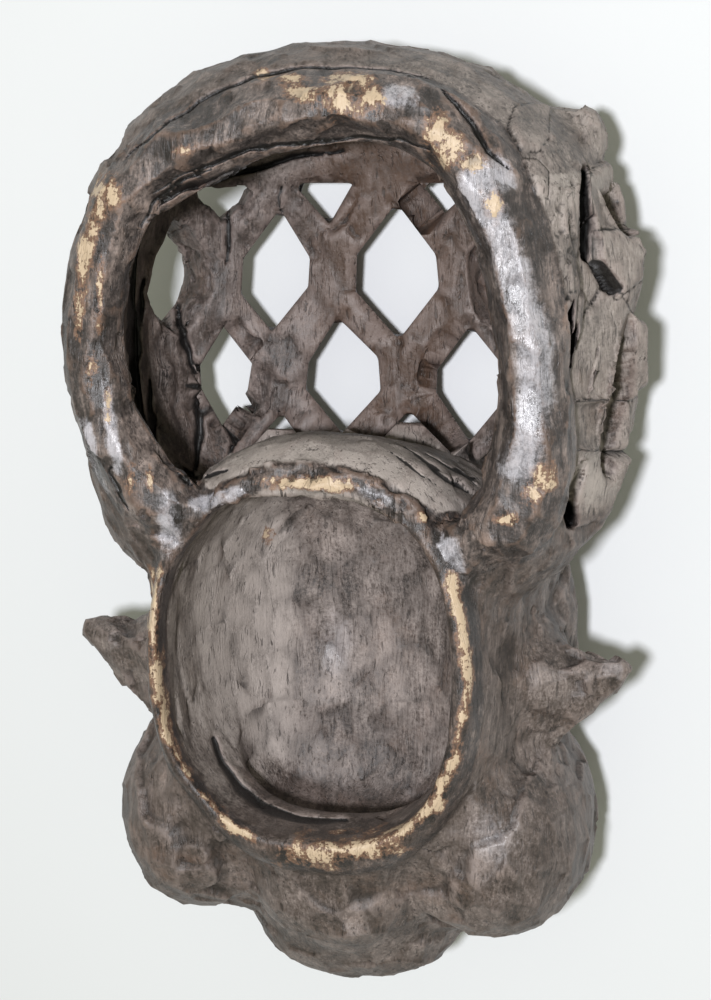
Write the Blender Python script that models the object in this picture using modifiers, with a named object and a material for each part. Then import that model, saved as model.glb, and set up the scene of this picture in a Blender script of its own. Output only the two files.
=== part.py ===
"""Bamum helmet mask, carved from one block of wood.

The mask lies on its face: +Z points up out of its hollow back, +Y towards the top of
the headdress and +X to the right as the back is seen. The floor is the plane z = 0,
and the origin is under the middle of the mask. All sizes are in metres.
"""

import math

import bmesh
import bpy
from mathutils import Matrix, Vector

# Overall sizes
MASK_LENGTH = 0.645
RIM_HEIGHT = 0.235
WAIST_HEIGHT = 0.150

# Head, the bowl that goes over the wearer's head: height, half width, rise above and drop below its middle
HEAD_Y = -0.073
HEAD_SECTIONS = (
    (0.037, 0.070, 0.050, 0.090),
    (0.041, 0.104, 0.080, 0.122),
    (0.050, 0.128, 0.104, 0.146),
    (0.065, 0.142, 0.118, 0.162),
    (0.085, 0.146, 0.127, 0.171),
    (0.110, 0.141, 0.133, 0.176),
    (0.150, 0.130, 0.142, 0.170),
    (0.190, 0.118, 0.142, 0.155),
    (0.215, 0.110, 0.138, 0.142),
    (0.2275, 0.105, 0.134, 0.133),
)
HEAD_ROUNDNESS = 2.3

# Rim of the bowl
RIM_HALF_WIDTH = 0.108
RIM_HALF_HEIGHT = 0.132
RIM_SIDE_RADIUS = 0.0075
RIM_END_RADIUS = 0.0155

# Bowl hollow
BOWL_FLOOR = 0.074
BOWL_X = -0.003
BOWL_HALF_WIDTH = 0.095
BOWL_RISE = 0.116
BOWL_DROP = 0.114
CHIN_POCKET_Y = -0.150
CHIN_POCKET_Z = 0.128
CHIN_POCKET_HALF_WIDTH = 0.080
CHIN_POCKET_DROP = 0.064
CHIN_POCKET_DEPTH = 0.046

# Headdress, an openwork cap whose open back is edged by a thick arch
CAP_Y = 0.156
CAP_HALF_WIDTH = 0.178
CAP_DROP = 0.198
CAP_FACE = 0.022
CAP_BACK_REACH = 0.119
CAP_TOP_ROUNDNESS = 2.2
CAP_FOOT_ROUNDNESS = 4.0
CAP_BACK_ROUNDNESS = 2.3
CAP_FACE_ROUNDNESS = 2.8
CAP_WALL = 0.027
CAP_FRONT_WALL = 0.024
CAP_BACK_EDGE = 0.228
CAP_UNDERCUT_REACH = 0.062
BAND_Y = 0.227
BAND_PROUD = 0.005
HORN_PLACE = (0.142, 0.262, 0.104)
HORN_RADIUS = 0.021

# Arch round the open back of the headdress: x, y and half thickness, from foot to foot
ARCH_HEIGHT = 0.220
ARCH_CREST = 0.241
ARCH_LINE = (
    (-0.086, 0.024, 0.018),
    (-0.098, 0.032, 0.023),
    (-0.117, 0.046, 0.0235),
    (-0.134, 0.071, 0.0225),
    (-0.1445, 0.102, 0.0215),
    (-0.1475, 0.138, 0.0215),
    (-0.143, 0.179, 0.0215),
    (-0.127, 0.221, 0.0225),
    (-0.088, 0.251, 0.026),
    (-0.030, 0.276, 0.024),
    (0.022, 0.284, 0.023),
    (0.068, 0.279, 0.024),
    (0.099, 0.254, 0.025),
    (0.120, 0.208, 0.024),
    (0.134, 0.152, 0.024),
    (0.139, 0.096, 0.026),
    (0.136, 0.062, 0.031),
    (0.126, 0.038, 0.032),
    (0.106, 0.024, 0.022),
)

# Openwork of the headdress: pointed holes in staggered rows round the wall, only recessed at the sides
HOLE_PITCH = 0.084
ROW_PITCH = 0.075
LATTICE_SHIFT = 0.003
LATTICE_LEAN = 0.09
HOLE_HALF_WIDTH = 0.0275
HOLE_HALF_HEIGHT = 0.046
HOLE_SHOULDER = 0.011
UPPER_FULL_ROW_Y = 0.162
LATTICE_FOOT_Y = 0.014
HOLE_CUT_DEPTH = 0.080
PIERCED_REACH = 2.2
FOOT_ROW_RISE = 0.012
FOOT_PIERCED_REACH = 1.2
RECESS_DEPTH = 0.012

# Deep slots in the sides, close behind the arch: middle height above the foot, half length
SIDE_SLOTS = ((0.208, 0.038), (0.128, 0.026), (0.040, 0.022))
SLOT_X = 0.166
SLOT_Z = 0.186
SLOT_HALF_WIDTH = 0.0055
SLOT_HALF_DEPTH = 0.034

# Spider relief on the openwork
SPIDER_HALF_WIDTH = 0.018
SPIDER_HALF_LENGTH = 0.026
FRONT_SPIDER_PROUD = 0.025
SIDE_SPIDER_PROUD = 0.017
SIDE_SPIDER_RISE = 0.014
LEG_RADIUS = 0.0095
LEG_BEND = 0.35

# Ears: the edge of the leaf shape, as x, upper y, lower y, lower z and upper z
EAR_SECTIONS = (
    (0.098, -0.072, -0.164, 0.104, 0.176),
    (0.122, -0.070, -0.156, 0.108, 0.170),
    (0.150, -0.067, -0.131, 0.116, 0.162),
    (0.174, -0.068, -0.105, 0.125, 0.153),
)
EAR_RIDGE_Y = -0.083
EAR_SCOOP = (0.142, -0.102, 0.106)
EAR_SCOOP_REACH = (0.028, 0.018, 0.018, 0.016, 0.016)
EAR_TIP = (0.188, -0.080, 0.139)
EAR_TIP_RADIUS = 0.008

# Cheeks
CHEEK_X = 0.101
CHEEK_Y = -0.203
CHEEK_Z = 0.122
CHEEK_HALF_WIDTH = 0.063
CHEEK_HALF_HEIGHT = 0.073
CHEEK_BACK_REACH = 0.082
CHEEK_FLAT_CUT = 0.004

# Chin and mouth
CHIN_Y = -0.215
CHIN_Z = 0.150
CHIN_HALF_WIDTH = 0.068
CHIN_DROP = 0.074
CHIN_DEPTH = 0.070
LIPS_Y = -0.252
LIPS_Z = 0.105
LIPS_HALF_WIDTH = 0.079
LIPS_BACK_REACH = 0.068
LIPS_FACE = 0.004
MOUTH_Y = -0.246
MOUTH_HALF_WIDTH = 0.050
MOUTH_HALF_HEIGHT = 0.019
MOUTH_DEPTH = 0.030
TOOTH_COUNT = 6

# Nose, eyes and brows
NOSE_TOP_Y = -0.026
NOSE_TIP_Y = -0.146
NOSE_RADIUS = 0.025
NOSTRIL_X = 0.026
NOSTRIL_RADIUS = 0.021
EYE_X = 0.064
EYE_Y = -0.078
EYE_HALF_WIDTH = 0.040
EYE_HALF_HEIGHT = 0.023
EYE_PROUD = 0.022
LID_RADIUS = 0.0062
BROW_Y = -0.024
BROW_RISE = 0.014
BROW_RADIUS = 0.011

# Carving resolution
CARVING_GRAIN = 0.0034
SOFTENING = 5
KEPT_SHARE = 0.0365

WOOD_COLOUR = (0.085, 0.062, 0.048, 1.0)
WOOD_ROUGHNESS = 0.62

TOP_Y = MASK_LENGTH / 2
FOOT_Y = -MASK_LENGTH / 2
CAP_RISE = TOP_Y - CAP_Y
CAP_DEPTH = WAIST_HEIGHT - CAP_FACE
CAP_MID_HALF_WIDTH = CAP_HALF_WIDTH - CAP_WALL / 2
CAP_MID_DEPTH = CAP_DEPTH - CAP_FRONT_WALL / 2
CAP_ROUNDNESS = (CAP_TOP_ROUNDNESS, CAP_FOOT_ROUNDNESS, CAP_BACK_ROUNDNESS, CAP_FACE_ROUNDNESS)
FLOOR_MARGIN = 0.05


def clear_scene():
    for obj in list(bpy.data.objects):
        bpy.data.objects.remove(obj)


def collection(name, helper):
    """A collection in the scene; a helper one holds cutters and forms that are joined into the mask."""
    made = bpy.data.collections.new(name)
    bpy.context.scene.collection.children.link(made)
    made.hide_render = helper
    return made


def finished(name, bm, home, helper=True):
    """Turns a bmesh into an object in a collection."""
    bm.normal_update()
    bmesh.ops.recalc_face_normals(bm, faces=bm.faces)
    mesh = bpy.data.meshes.new(name)
    bm.to_mesh(mesh)
    bm.free()
    obj = bpy.data.objects.new(name, mesh)
    home.objects.link(obj)
    if helper:
        obj.hide_render = True
        obj.display_type = "WIRE"
    return obj


def swollen(centre, reach, roundness, segments=32):
    """A bmesh of a superellipsoid whose reach may differ on each side of its centre.

    reach is (x, y up, y down, z back, z face). roundness is one number, where 2 is an
    ellipsoid, or one each for the outline's upper and lower half, the back and the face."""
    across, rise, drop, back, face = reach
    upper, lower, behind, before = roundness if isinstance(roundness, tuple) else (roundness,) * 4
    bm = bmesh.new()
    bmesh.ops.create_uvsphere(bm, u_segments=segments, v_segments=segments * 2 // 3, radius=1.0)
    for v in bm.verts:
        d = v.co.normalized()
        flat = upper if d.y > 0 else lower
        deep = behind if d.z > 0 else before
        outline = (abs(d.x) ** flat + abs(d.y) ** flat) ** (deep / flat)
        size = (outline + abs(d.z) ** deep) ** (-1 / deep)
        v.co = Vector((
            centre[0] + d.x * size * across,
            centre[1] + d.y * size * (rise if d.y > 0 else drop),
            centre[2] + d.z * size * (back if d.z > 0 else face),
        ))
    return bm


def lofted(sections, middle_y, roundness, segments=56):
    """A bmesh through rounded outlines, each given as (height, half width, rise, drop)."""
    bm = bmesh.new()
    rings = []
    for z, across, rise, drop in sections:
        ring = []
        for i in range(segments):
            angle = 2 * math.pi * i / segments
            x, y = math.cos(angle), math.sin(angle)
            size = (abs(x) ** roundness + abs(y) ** roundness) ** (-1 / roundness)
            reach = rise if y > 0 else drop
            ring.append(bm.verts.new((x * size * across, middle_y + y * size * reach, z)))
        rings.append(ring)
    for below, above in zip(rings, rings[1:]):
        for i in range(segments):
            j = (i + 1) % segments
            bm.faces.new((below[i], below[j], above[j], above[i]))
    bm.faces.new(rings[0])
    bm.faces.new(rings[-1])
    return bm


def trimmed(bm, point, outward):
    """Cuts away what lies beyond a plane and closes the cut."""
    geometry = bm.verts[:] + bm.edges[:] + bm.faces[:]
    bmesh.ops.bisect_plane(bm, geom=geometry, plane_co=point, plane_no=outward, clear_outer=True)
    bmesh.ops.holes_fill(bm, edges=[e for e in bm.edges if e.is_boundary])
    return bm


def tube(name, line, home, closed=False, resolution=6):
    """A round bar along a smooth line of (x, y, z, radius), as a closed mesh."""
    curve = bpy.data.curves.new(name, "CURVE")
    curve.dimensions = "3D"
    curve.bevel_depth = 1.0
    curve.bevel_resolution = 3
    curve.resolution_u = resolution
    curve.use_fill_caps = True
    spline = curve.splines.new("BEZIER")
    spline.bezier_points.add(len(line) - 1)
    for point, (x, y, z, radius) in zip(spline.bezier_points, line):
        point.co = (x, y, z)
        point.radius = radius
        point.handle_left_type = point.handle_right_type = "AUTO"
    spline.use_cyclic_u = closed
    guide = bpy.data.objects.new(name + "_line", curve)
    home.objects.link(guide)
    graph = bpy.context.evaluated_depsgraph_get()
    mesh = bpy.data.meshes.new_from_object(guide.evaluated_get(graph))
    bpy.data.objects.remove(guide)
    bm = bmesh.new()
    bm.from_mesh(mesh)
    bpy.data.meshes.remove(mesh)
    bmesh.ops.remove_doubles(bm, verts=bm.verts, dist=0.0001)
    return finished(name, bm, home)


def boolean(obj, operation, other):
    """Adds a Boolean modifier that takes an object or a whole collection."""
    modifier = obj.modifiers.new(operation.lower(), "BOOLEAN")
    modifier.operation = operation
    modifier.solver = "EXACT"
    if isinstance(other, bpy.types.Collection):
        modifier.operand_type = "COLLECTION"
        modifier.collection = other
    else:
        modifier.object = other


def head_surface_z(x, y):
    """Height of the face side of the head at a place."""
    for below, above in zip(HEAD_SECTIONS, HEAD_SECTIONS[1:]):
        for step in range(8):
            share = step / 8
            z, across, rise, drop = (a + (b - a) * share for a, b in zip(below, above))
            along = abs(y - HEAD_Y) / (rise if y > HEAD_Y else drop)
            if (abs(x) / across) ** HEAD_ROUNDNESS + along**HEAD_ROUNDNESS <= 1:
                return z
        if above[1] < below[1]:
            break
    return below[0]


def wall_path():
    """(distance from the middle of the front, x, z from the cap's middle, normal) round half the wall."""
    steps = 600
    places = []
    travelled = 0.0
    before = None
    for i in range(steps + 1):
        angle = math.pi * 0.75 * i / steps
        in_front = angle < math.pi / 2
        depth = CAP_MID_DEPTH if in_front else CAP_BACK_REACH
        flat = CAP_FACE_ROUNDNESS if in_front else CAP_BACK_ROUNDNESS
        x = CAP_MID_HALF_WIDTH * abs(math.sin(angle)) ** (2 / flat)
        z = -depth * math.copysign(abs(math.cos(angle)) ** (2 / flat), math.cos(angle))
        if before is not None:
            travelled += math.hypot(x - before[0], z - before[1])
        before = (x, z)
        normal = Vector((
            (x / CAP_MID_HALF_WIDTH) ** (flat - 1) / CAP_MID_HALF_WIDTH,
            0.0,
            math.copysign((abs(z) / depth) ** (flat - 1) / depth, z),
        )).normalized()
        places.append((travelled, x, z, normal))
    return places


WALL_PATH = wall_path()


def on_wall(offset, y):
    """The place and the outward normal of the middle of the cap's wall.

    offset is measured round the wall from the lattice's middle, which leans, and is positive towards +X."""
    offset = offset + LATTICE_SHIFT + LATTICE_LEAN * (UPPER_FULL_ROW_Y - y)
    _, x, z, normal = min(WALL_PATH, key=lambda place: abs(place[0] - abs(offset)))
    side = math.copysign(1.0, offset)
    along = abs(y - CAP_Y) / (CAP_RISE if y > CAP_Y else CAP_DROP)
    flat = CAP_TOP_ROUNDNESS if y > CAP_Y else CAP_FOOT_ROUNDNESS
    narrowing = (1 - along**flat) ** (1 / flat)
    rising = (1 - along**CAP_FACE_ROUNDNESS) ** (1 / CAP_FACE_ROUNDNESS)
    place = Vector((x * side * narrowing, y, WAIST_HEIGHT + z * rising))
    return place, Vector((normal.x * side, 0.0, normal.z))


def turned(place, normal):
    """A matrix that stands an upright shape on the wall there, facing outwards."""
    across = Vector((0.0, 1.0, 0.0)).cross(normal)
    turn = Matrix((across, (0.0, 1.0, 0.0), normal)).transposed().to_4x4()
    turn.translation = place
    return turn


def row_offsets(staggered, reach):
    """Distances round the wall of one row's holes, out to that many pitches each side."""
    first = HOLE_PITCH / 2 if staggered else 0.0
    one_side = [first + HOLE_PITCH * i for i in range(reach)]
    return sorted({-s for s in one_side} | set(one_side))


def hole_cutter(name, offset, row_y, pierced, home):
    """A pointed six-sided prism across the wall, flat where the band or the head cuts it short."""
    place, normal = on_wall(offset, row_y)
    depth = HOLE_CUT_DEPTH if pierced else 2 * RECESS_DEPTH
    bm = bmesh.new()
    bmesh.ops.create_cone(bm, cap_ends=True, segments=6, radius1=1.0, radius2=1.0, depth=depth)
    for v in bm.verts:
        if abs(v.co.x) < 0.1:
            v.co.x = 0.0
            v.co.y = math.copysign(HOLE_HALF_HEIGHT, v.co.y)
        else:
            v.co.x = math.copysign(HOLE_HALF_WIDTH, v.co.x)
            v.co.y = math.copysign(HOLE_SHOULDER, v.co.y)
        v.co.y = max(min(v.co.y, BAND_Y - row_y), LATTICE_FOOT_Y - row_y)
    bmesh.ops.remove_doubles(bm, verts=bm.verts, dist=0.0001)
    if not pierced:
        place = place + normal * CAP_WALL / 2
    bm.transform(turned(place, normal))
    return finished(name, bm, home)


def lattice_rows():
    """(row height, whether it is staggered, how many holes to each side, pitches pierced), from the band down."""
    return (
        (UPPER_FULL_ROW_Y + ROW_PITCH, True, 3, PIERCED_REACH),
        (UPPER_FULL_ROW_Y, False, 4, PIERCED_REACH),
        (UPPER_FULL_ROW_Y - ROW_PITCH, True, 3, PIERCED_REACH),
        (UPPER_FULL_ROW_Y - 2 * ROW_PITCH + FOOT_ROW_RISE, False, 4, FOOT_PIERCED_REACH),
    )


def add_hole_cutters(home):
    for row, (row_y, staggered, reach, pierced_reach) in enumerate(lattice_rows()):
        for column, offset in enumerate(row_offsets(staggered, reach)):
            pierced = abs(offset) < pierced_reach * HOLE_PITCH
            hole_cutter(f"hole_{row}_{column}", offset, row_y, pierced, home)


def add_slot_cutters(home):
    for side, word in ((-1, "left"), (1, "right")):
        for i, (y, half_length) in enumerate(SIDE_SLOTS):
            reach = (SLOT_HALF_WIDTH, half_length, half_length, SLOT_HALF_DEPTH, SLOT_HALF_DEPTH)
            finished(f"slot_{word}_{i}", swollen((side * SLOT_X, y, SLOT_Z), reach, 3.0, 16), home)


def cap_form(proud):
    """The outside of the headdress, or of a layer that stands proud of it, cut off at its open back."""
    reach = (CAP_HALF_WIDTH + proud, CAP_RISE, CAP_DROP, CAP_BACK_REACH, CAP_DEPTH + proud)
    bm = swollen((0.0, CAP_Y, WAIST_HEIGHT), reach, CAP_ROUNDNESS, 64)
    return trimmed(bm, (0, 0, CAP_BACK_EDGE), (0, 0, 1))


def add_cap(forms, cutters):
    """The headdress: a swollen shell, pierced by the openwork, whose back opens inside the arch."""
    cap = finished("cap", cap_form(0.0), forms)
    band = finished("band", trimmed(cap_form(BAND_PROUD), (0, BAND_Y, 0), (0, -1, 0)), forms)
    inside = (
        CAP_HALF_WIDTH - CAP_WALL,
        CAP_RISE - CAP_WALL,
        CAP_DROP - CAP_WALL,
        CAP_UNDERCUT_REACH,
        CAP_DEPTH - CAP_FRONT_WALL,
    )
    hollow = finished("cap_hollow", swollen((0.0, CAP_Y, WAIST_HEIGHT), inside, CAP_ROUNDNESS, 64), cutters)
    bm = bmesh.new()
    for height in (WAIST_HEIGHT, CAP_BACK_EDGE + CAP_WALL):
        bm.faces.new([bm.verts.new((x, y, height)) for x, y, _ in ARCH_LINE])
    bmesh.ops.bridge_loops(bm, edges=bm.edges[:])
    opening = finished("cap_opening", bm, cutters)
    holes = collection("holes", True)
    add_hole_cutters(holes)
    add_slot_cutters(holes)
    for layer in (cap, band):
        boolean(layer, "DIFFERENCE", hollow)
        boolean(layer, "DIFFERENCE", opening)
    boolean(cap, "DIFFERENCE", holes)


def add_spiders(forms):
    """A raised spider on each crossing of the openwork, its legs along the bars."""
    rows = lattice_rows()
    for row in (1, 2):
        row_y, staggered, _, _ = rows[row]
        for column, offset in enumerate(row_offsets(not staggered, 3)):
            if abs(offset) > 2.8 * HOLE_PITCH:
                continue
            on_side = abs(offset) > 1.2 * HOLE_PITCH
            y = row_y + (SIDE_SPIDER_RISE if abs(offset) > 2.2 * HOLE_PITCH else 0.0)
            proud = SIDE_SPIDER_PROUD if on_side else FRONT_SPIDER_PROUD
            place, normal = on_wall(offset, y)
            reach = (SPIDER_HALF_WIDTH, SPIDER_HALF_LENGTH, SPIDER_HALF_LENGTH, proud, proud)
            bm = swollen((0, 0, 0), reach, 2.4, 16)
            bm.transform(turned(place + normal * CAP_FRONT_WALL / 2, normal))
            finished(f"spider_{row}_{column}", bm, forms)
            for side in (-1, 1):
                for way in (-1, 1):
                    add_leg(f"leg_{row}_{column}_{side}_{way}", offset, y, side, way, forms)
    finished("horn", swollen(HORN_PLACE, (HORN_RADIUS,) * 5, 3.0, 16), forms)


def add_leg(name, offset, row_y, side, way, forms):
    """One bent leg, from a spider's body half way along a bar."""
    line = []
    for share in (0.0, LEG_BEND, 1.0):
        rise = way * ROW_PITCH * (share if share in (0.0, 1.0) else share * 0.55)
        y = min(max(row_y + rise, LATTICE_FOOT_Y - 0.01), BAND_Y + 0.01)
        place, normal = on_wall(offset + side * HOLE_PITCH / 2 * share * 0.95, y)
        point = place + normal * (CAP_FRONT_WALL / 2)
        line.append((point.x, y, point.z, LEG_RADIUS))
    tube(name, line, forms, resolution=4)


def add_arch(forms, cutters):
    """The thick arch that edges the open back of the headdress, worn flat along its crest."""
    line = [(x, y, ARCH_HEIGHT, radius) for x, y, radius in ARCH_LINE]
    arch = tube("arch", line, forms)
    bm = bmesh.new()
    above = Matrix.Translation((0, 0, ARCH_CREST + FLOOR_MARGIN)) @ Matrix.Diagonal((2, 2, 2 * FLOOR_MARGIN, 1))
    bmesh.ops.create_cube(bm, size=1.0, matrix=above)
    boolean(arch, "DIFFERENCE", finished("crest_plane", bm, cutters))


def add_rim(forms):
    """The rounded lip of the bowl, thicker at the crown and the chin than at the sides."""
    line = []
    count = 20
    for i in range(count):
        angle = 2 * math.pi * i / count
        radius = RIM_SIDE_RADIUS + (RIM_END_RADIUS - RIM_SIDE_RADIUS) * math.sin(angle) ** 2
        x = (RIM_HALF_WIDTH - radius) * math.cos(angle)
        y = HEAD_Y + (RIM_HALF_HEIGHT - radius) * math.sin(angle)
        line.append((x, y, RIM_HEIGHT - radius, radius))
    tube("rim", line, forms, closed=True)


def head_form(home):
    """The outside of the bowl, which is also the ground of the face, cut off at the rim."""
    return finished("head", lofted(HEAD_SECTIONS, HEAD_Y, HEAD_ROUNDNESS), home)


def add_bowl_hollow(home):
    """The hollow for the wearer's head, which widens behind the rim at the chin."""
    centre_z = RIM_HEIGHT - 0.03
    reach = (BOWL_HALF_WIDTH, BOWL_RISE, BOWL_DROP, 0.12, centre_z - BOWL_FLOOR)
    finished("bowl", swollen((BOWL_X, HEAD_Y, centre_z), reach, 2.8, 48), home)
    pocket = (CHIN_POCKET_HALF_WIDTH, CHIN_POCKET_DROP, CHIN_POCKET_DROP, CHIN_POCKET_DEPTH, CHIN_POCKET_DEPTH)
    finished("chin_pocket", swollen((0.0, CHIN_POCKET_Y, CHIN_POCKET_Z), pocket, 2.2), home)


def add_ears(forms, cutters):
    """Pointed ears that stand out from the sides of the head, ridged on the back and scooped on the face side."""
    for side, name in ((-1, "ear_left"), (1, "ear_right")):
        scoop = (side * EAR_SCOOP[0], EAR_SCOOP[1], EAR_SCOOP[2])
        finished(name + "_scoop", swollen(scoop, EAR_SCOOP_REACH, 2.0, 16), cutters)
        bm = bmesh.new()
        for x, top_y, foot_y, face_z, back_z in EAR_SECTIONS:
            middle_z = (face_z + back_z) / 2
            corners = (
                (top_y, middle_z),
                (EAR_RIDGE_Y, back_z),
                (EAR_RIDGE_Y, face_z),
                (foot_y, middle_z + 0.004),
                (foot_y, middle_z - 0.004),
            )
            for y, z in corners:
                bm.verts.new((side * x, y, z))
        tip = Matrix.Translation((side * EAR_TIP[0], EAR_TIP[1], EAR_TIP[2]))
        bmesh.ops.create_icosphere(bm, subdivisions=2, radius=EAR_TIP_RADIUS, matrix=tip)
        hull = bmesh.ops.convex_hull(bm, input=bm.verts)
        inside = [g for g in hull["geom_interior"] if isinstance(g, bmesh.types.BMVert)]
        bmesh.ops.delete(bm, geom=inside, context="VERTS")
        finished(name, bm, forms)


def add_cheeks(forms):
    """Puffed cheeks, the lowest points of the face, cut flat where the mask lies on them."""
    reach = (
        CHEEK_HALF_WIDTH,
        CHEEK_HALF_HEIGHT,
        CHEEK_HALF_HEIGHT,
        CHEEK_BACK_REACH,
        CHEEK_Z + CHEEK_FLAT_CUT,
    )
    for side, name in ((-1, "cheek_left"), (1, "cheek_right")):
        finished(name, swollen((side * CHEEK_X, CHEEK_Y, CHEEK_Z), reach, 2.15), forms)


def add_mouth(forms, cutters):
    """The chin under the rim, and the full lips in front of it with a row of teeth between them."""
    chin = (CHIN_HALF_WIDTH, 0.05, CHIN_DROP, 0.060, CHIN_DEPTH)
    finished("chin", swollen((0.0, CHIN_Y, CHIN_Z), chin, 2.2), forms)
    lips = (LIPS_HALF_WIDTH, 0.046, LIPS_Y - FOOT_Y, LIPS_BACK_REACH, LIPS_Z - LIPS_FACE)
    finished("lips", swollen((0.0, LIPS_Y, LIPS_Z), lips, 2.5), forms)
    opening = (MOUTH_HALF_WIDTH, MOUTH_HALF_HEIGHT, MOUTH_HALF_HEIGHT, MOUTH_DEPTH, MOUTH_DEPTH)
    finished("mouth_opening", swollen((0.0, MOUTH_Y, LIPS_FACE), opening, 2.2), cutters)


def add_nose(forms):
    """A straight bridge that widens to a broad tip."""
    middle_y = (NOSE_TOP_Y + NOSE_TIP_Y) / 2
    start_z = head_surface_z(0.0, NOSE_TOP_Y)
    line = (
        (0.0, NOSE_TOP_Y, start_z, NOSE_RADIUS * 0.55),
        (0.0, middle_y, start_z - 0.003, NOSE_RADIUS * 0.8),
        (0.0, NOSE_TIP_Y + NOSE_RADIUS, NOSE_RADIUS * 1.02, NOSE_RADIUS),
        (0.0, NOSE_TIP_Y, NOSE_RADIUS * 1.02, NOSE_RADIUS),
    )
    tube("nose", line, forms)
    for side, name in ((-1, "nostril_left"), (1, "nostril_right")):
        reach = (NOSTRIL_RADIUS, NOSTRIL_RADIUS, NOSTRIL_RADIUS * 0.8, NOSTRIL_RADIUS * 1.6, NOSTRIL_RADIUS)
        finished(name, swollen((side * NOSTRIL_X, NOSE_TIP_Y, NOSTRIL_RADIUS * 1.15), reach, 2.0, 20), forms)


def add_eyes(forms):
    """Bulging almond eyes with raised lids, under arched brows."""
    for side, word in ((-1, "left"), (1, "right")):
        x = side * EYE_X
        z = head_surface_z(x, EYE_Y)
        reach = (EYE_HALF_WIDTH, EYE_HALF_HEIGHT, EYE_HALF_HEIGHT, EYE_PROUD, EYE_PROUD)
        finished(f"eye_{word}", swollen((x, EYE_Y, z), reach, 1.7, 24), forms)
        lid = []
        count = 12
        for i in range(count):
            angle = 2 * math.pi * i / count
            px = x + (EYE_HALF_WIDTH + LID_RADIUS) * math.cos(angle)
            py = EYE_Y + (EYE_HALF_HEIGHT + LID_RADIUS) * math.sin(angle)
            lid.append((px, py, head_surface_z(px, py) - LID_RADIUS / 2, LID_RADIUS))
        tube(f"lid_{word}", lid, forms, closed=True, resolution=3)
        brow = []
        for share in (-1.0, -0.5, 0.0, 0.5, 1.0):
            px = x + share * (EYE_HALF_WIDTH + 0.014)
            py = BROW_Y + BROW_RISE * (1 - share * share)
            brow.append((px, py, head_surface_z(px, py) - BROW_RADIUS / 2, BROW_RADIUS))
        tube(f"brow_{word}", brow, forms, resolution=4)


def add_teeth(forms):
    """Teeth that fill the back of the mouth."""
    width = 2 * MOUTH_HALF_WIDTH * 0.9 / TOOTH_COUNT
    for i in range(TOOTH_COUNT):
        x = (i - (TOOTH_COUNT - 1) / 2) * width
        reach = (width * 0.46, MOUTH_HALF_HEIGHT * 0.9, MOUTH_HALF_HEIGHT * 0.9, 0.020, 0.020)
        finished(f"tooth_{i}", swollen((x, MOUTH_Y, LIPS_FACE + MOUTH_DEPTH), reach, 4.0, 12), forms)


def floor_cutter(home):
    """A slab under the floor plane: it leaves a flat wherever the mask would reach below it."""
    bm = bmesh.new()
    place = Matrix.Translation((0, 0, -FLOOR_MARGIN)) @ Matrix.Diagonal((2, 2, 2 * FLOOR_MARGIN, 1))
    bmesh.ops.create_cube(bm, size=1.0, matrix=place)
    return finished("floor_slab", bm, home)


def wood():
    material = bpy.data.materials.new("dark_wood")
    material.use_nodes = True
    shader = material.node_tree.nodes["Principled BSDF"]
    shader.inputs["Base Color"].default_value = WOOD_COLOUR
    shader.inputs["Roughness"].default_value = WOOD_ROUGHNESS
    shader.inputs["Metallic"].default_value = 0.0
    return material


def carve_mask():
    mask_home = collection("helmet_mask", False)
    forms = collection("forms", True)
    cutters = collection("cutters", True)
    hollows = collection("hollows", True)
    add_rim(forms)
    add_spiders(forms)
    add_nose(forms)
    add_eyes(forms)
    add_ears(forms, hollows)
    add_cheeks(forms)
    add_mouth(forms, hollows)
    add_bowl_hollow(hollows)
    add_arch(forms, cutters)
    add_cap(forms, cutters)
    mask = head_form(mask_home)
    mask.name = "mask"
    mask.hide_render = False
    mask.display_type = "TEXTURED"
    teeth = collection("teeth", True)
    add_teeth(teeth)
    boolean(mask, "UNION", forms)
    boolean(mask, "DIFFERENCE", hollows)
    boolean(mask, "UNION", teeth)
    remesh = mask.modifiers.new("block", "REMESH")
    remesh.mode = "VOXEL"
    remesh.voxel_size = CARVING_GRAIN
    remesh.use_smooth_shade = True
    smooth = mask.modifiers.new("worn", "SMOOTH")
    smooth.factor = 0.5
    smooth.iterations = SOFTENING
    decimate = mask.modifiers.new("facets", "DECIMATE")
    decimate.ratio = KEPT_SHARE
    boolean(mask, "DIFFERENCE", floor_cutter(cutters))
    mask.data.materials.append(wood())


clear_scene()
carve_mask()
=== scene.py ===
"""Helmet mask with an openwork headdress, carved from one block of wood and lying on its face.

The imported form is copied, cut into chisel facets, cracked, chipped and worn, and given its
dusty dark wood. All sizes are in metres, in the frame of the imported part: +Z up out of the
hollow back, +Y towards the top of the headdress.
"""

import itertools
import math

import bpy
import numpy as np
from mathutils import Matrix, Vector, kdtree
from mathutils.bvhtree import BVHTree


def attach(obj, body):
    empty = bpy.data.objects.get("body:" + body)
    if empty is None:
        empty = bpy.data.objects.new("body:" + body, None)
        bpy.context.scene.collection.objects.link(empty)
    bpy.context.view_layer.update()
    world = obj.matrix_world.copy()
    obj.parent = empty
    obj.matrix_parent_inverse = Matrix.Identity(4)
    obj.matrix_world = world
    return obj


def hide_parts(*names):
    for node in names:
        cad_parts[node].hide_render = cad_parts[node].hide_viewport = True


bl_info = {
    "name": "Helmet Mask",
    "version": (1, 0, 0),
    "blender": (4, 5, 0),
    "location": "View3D > Sidebar > Helmet Mask",
    "description": "A worn, dusty helmet mask with an openwork headdress, and the studio that it lies in",
    "category": "Object",
}

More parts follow.
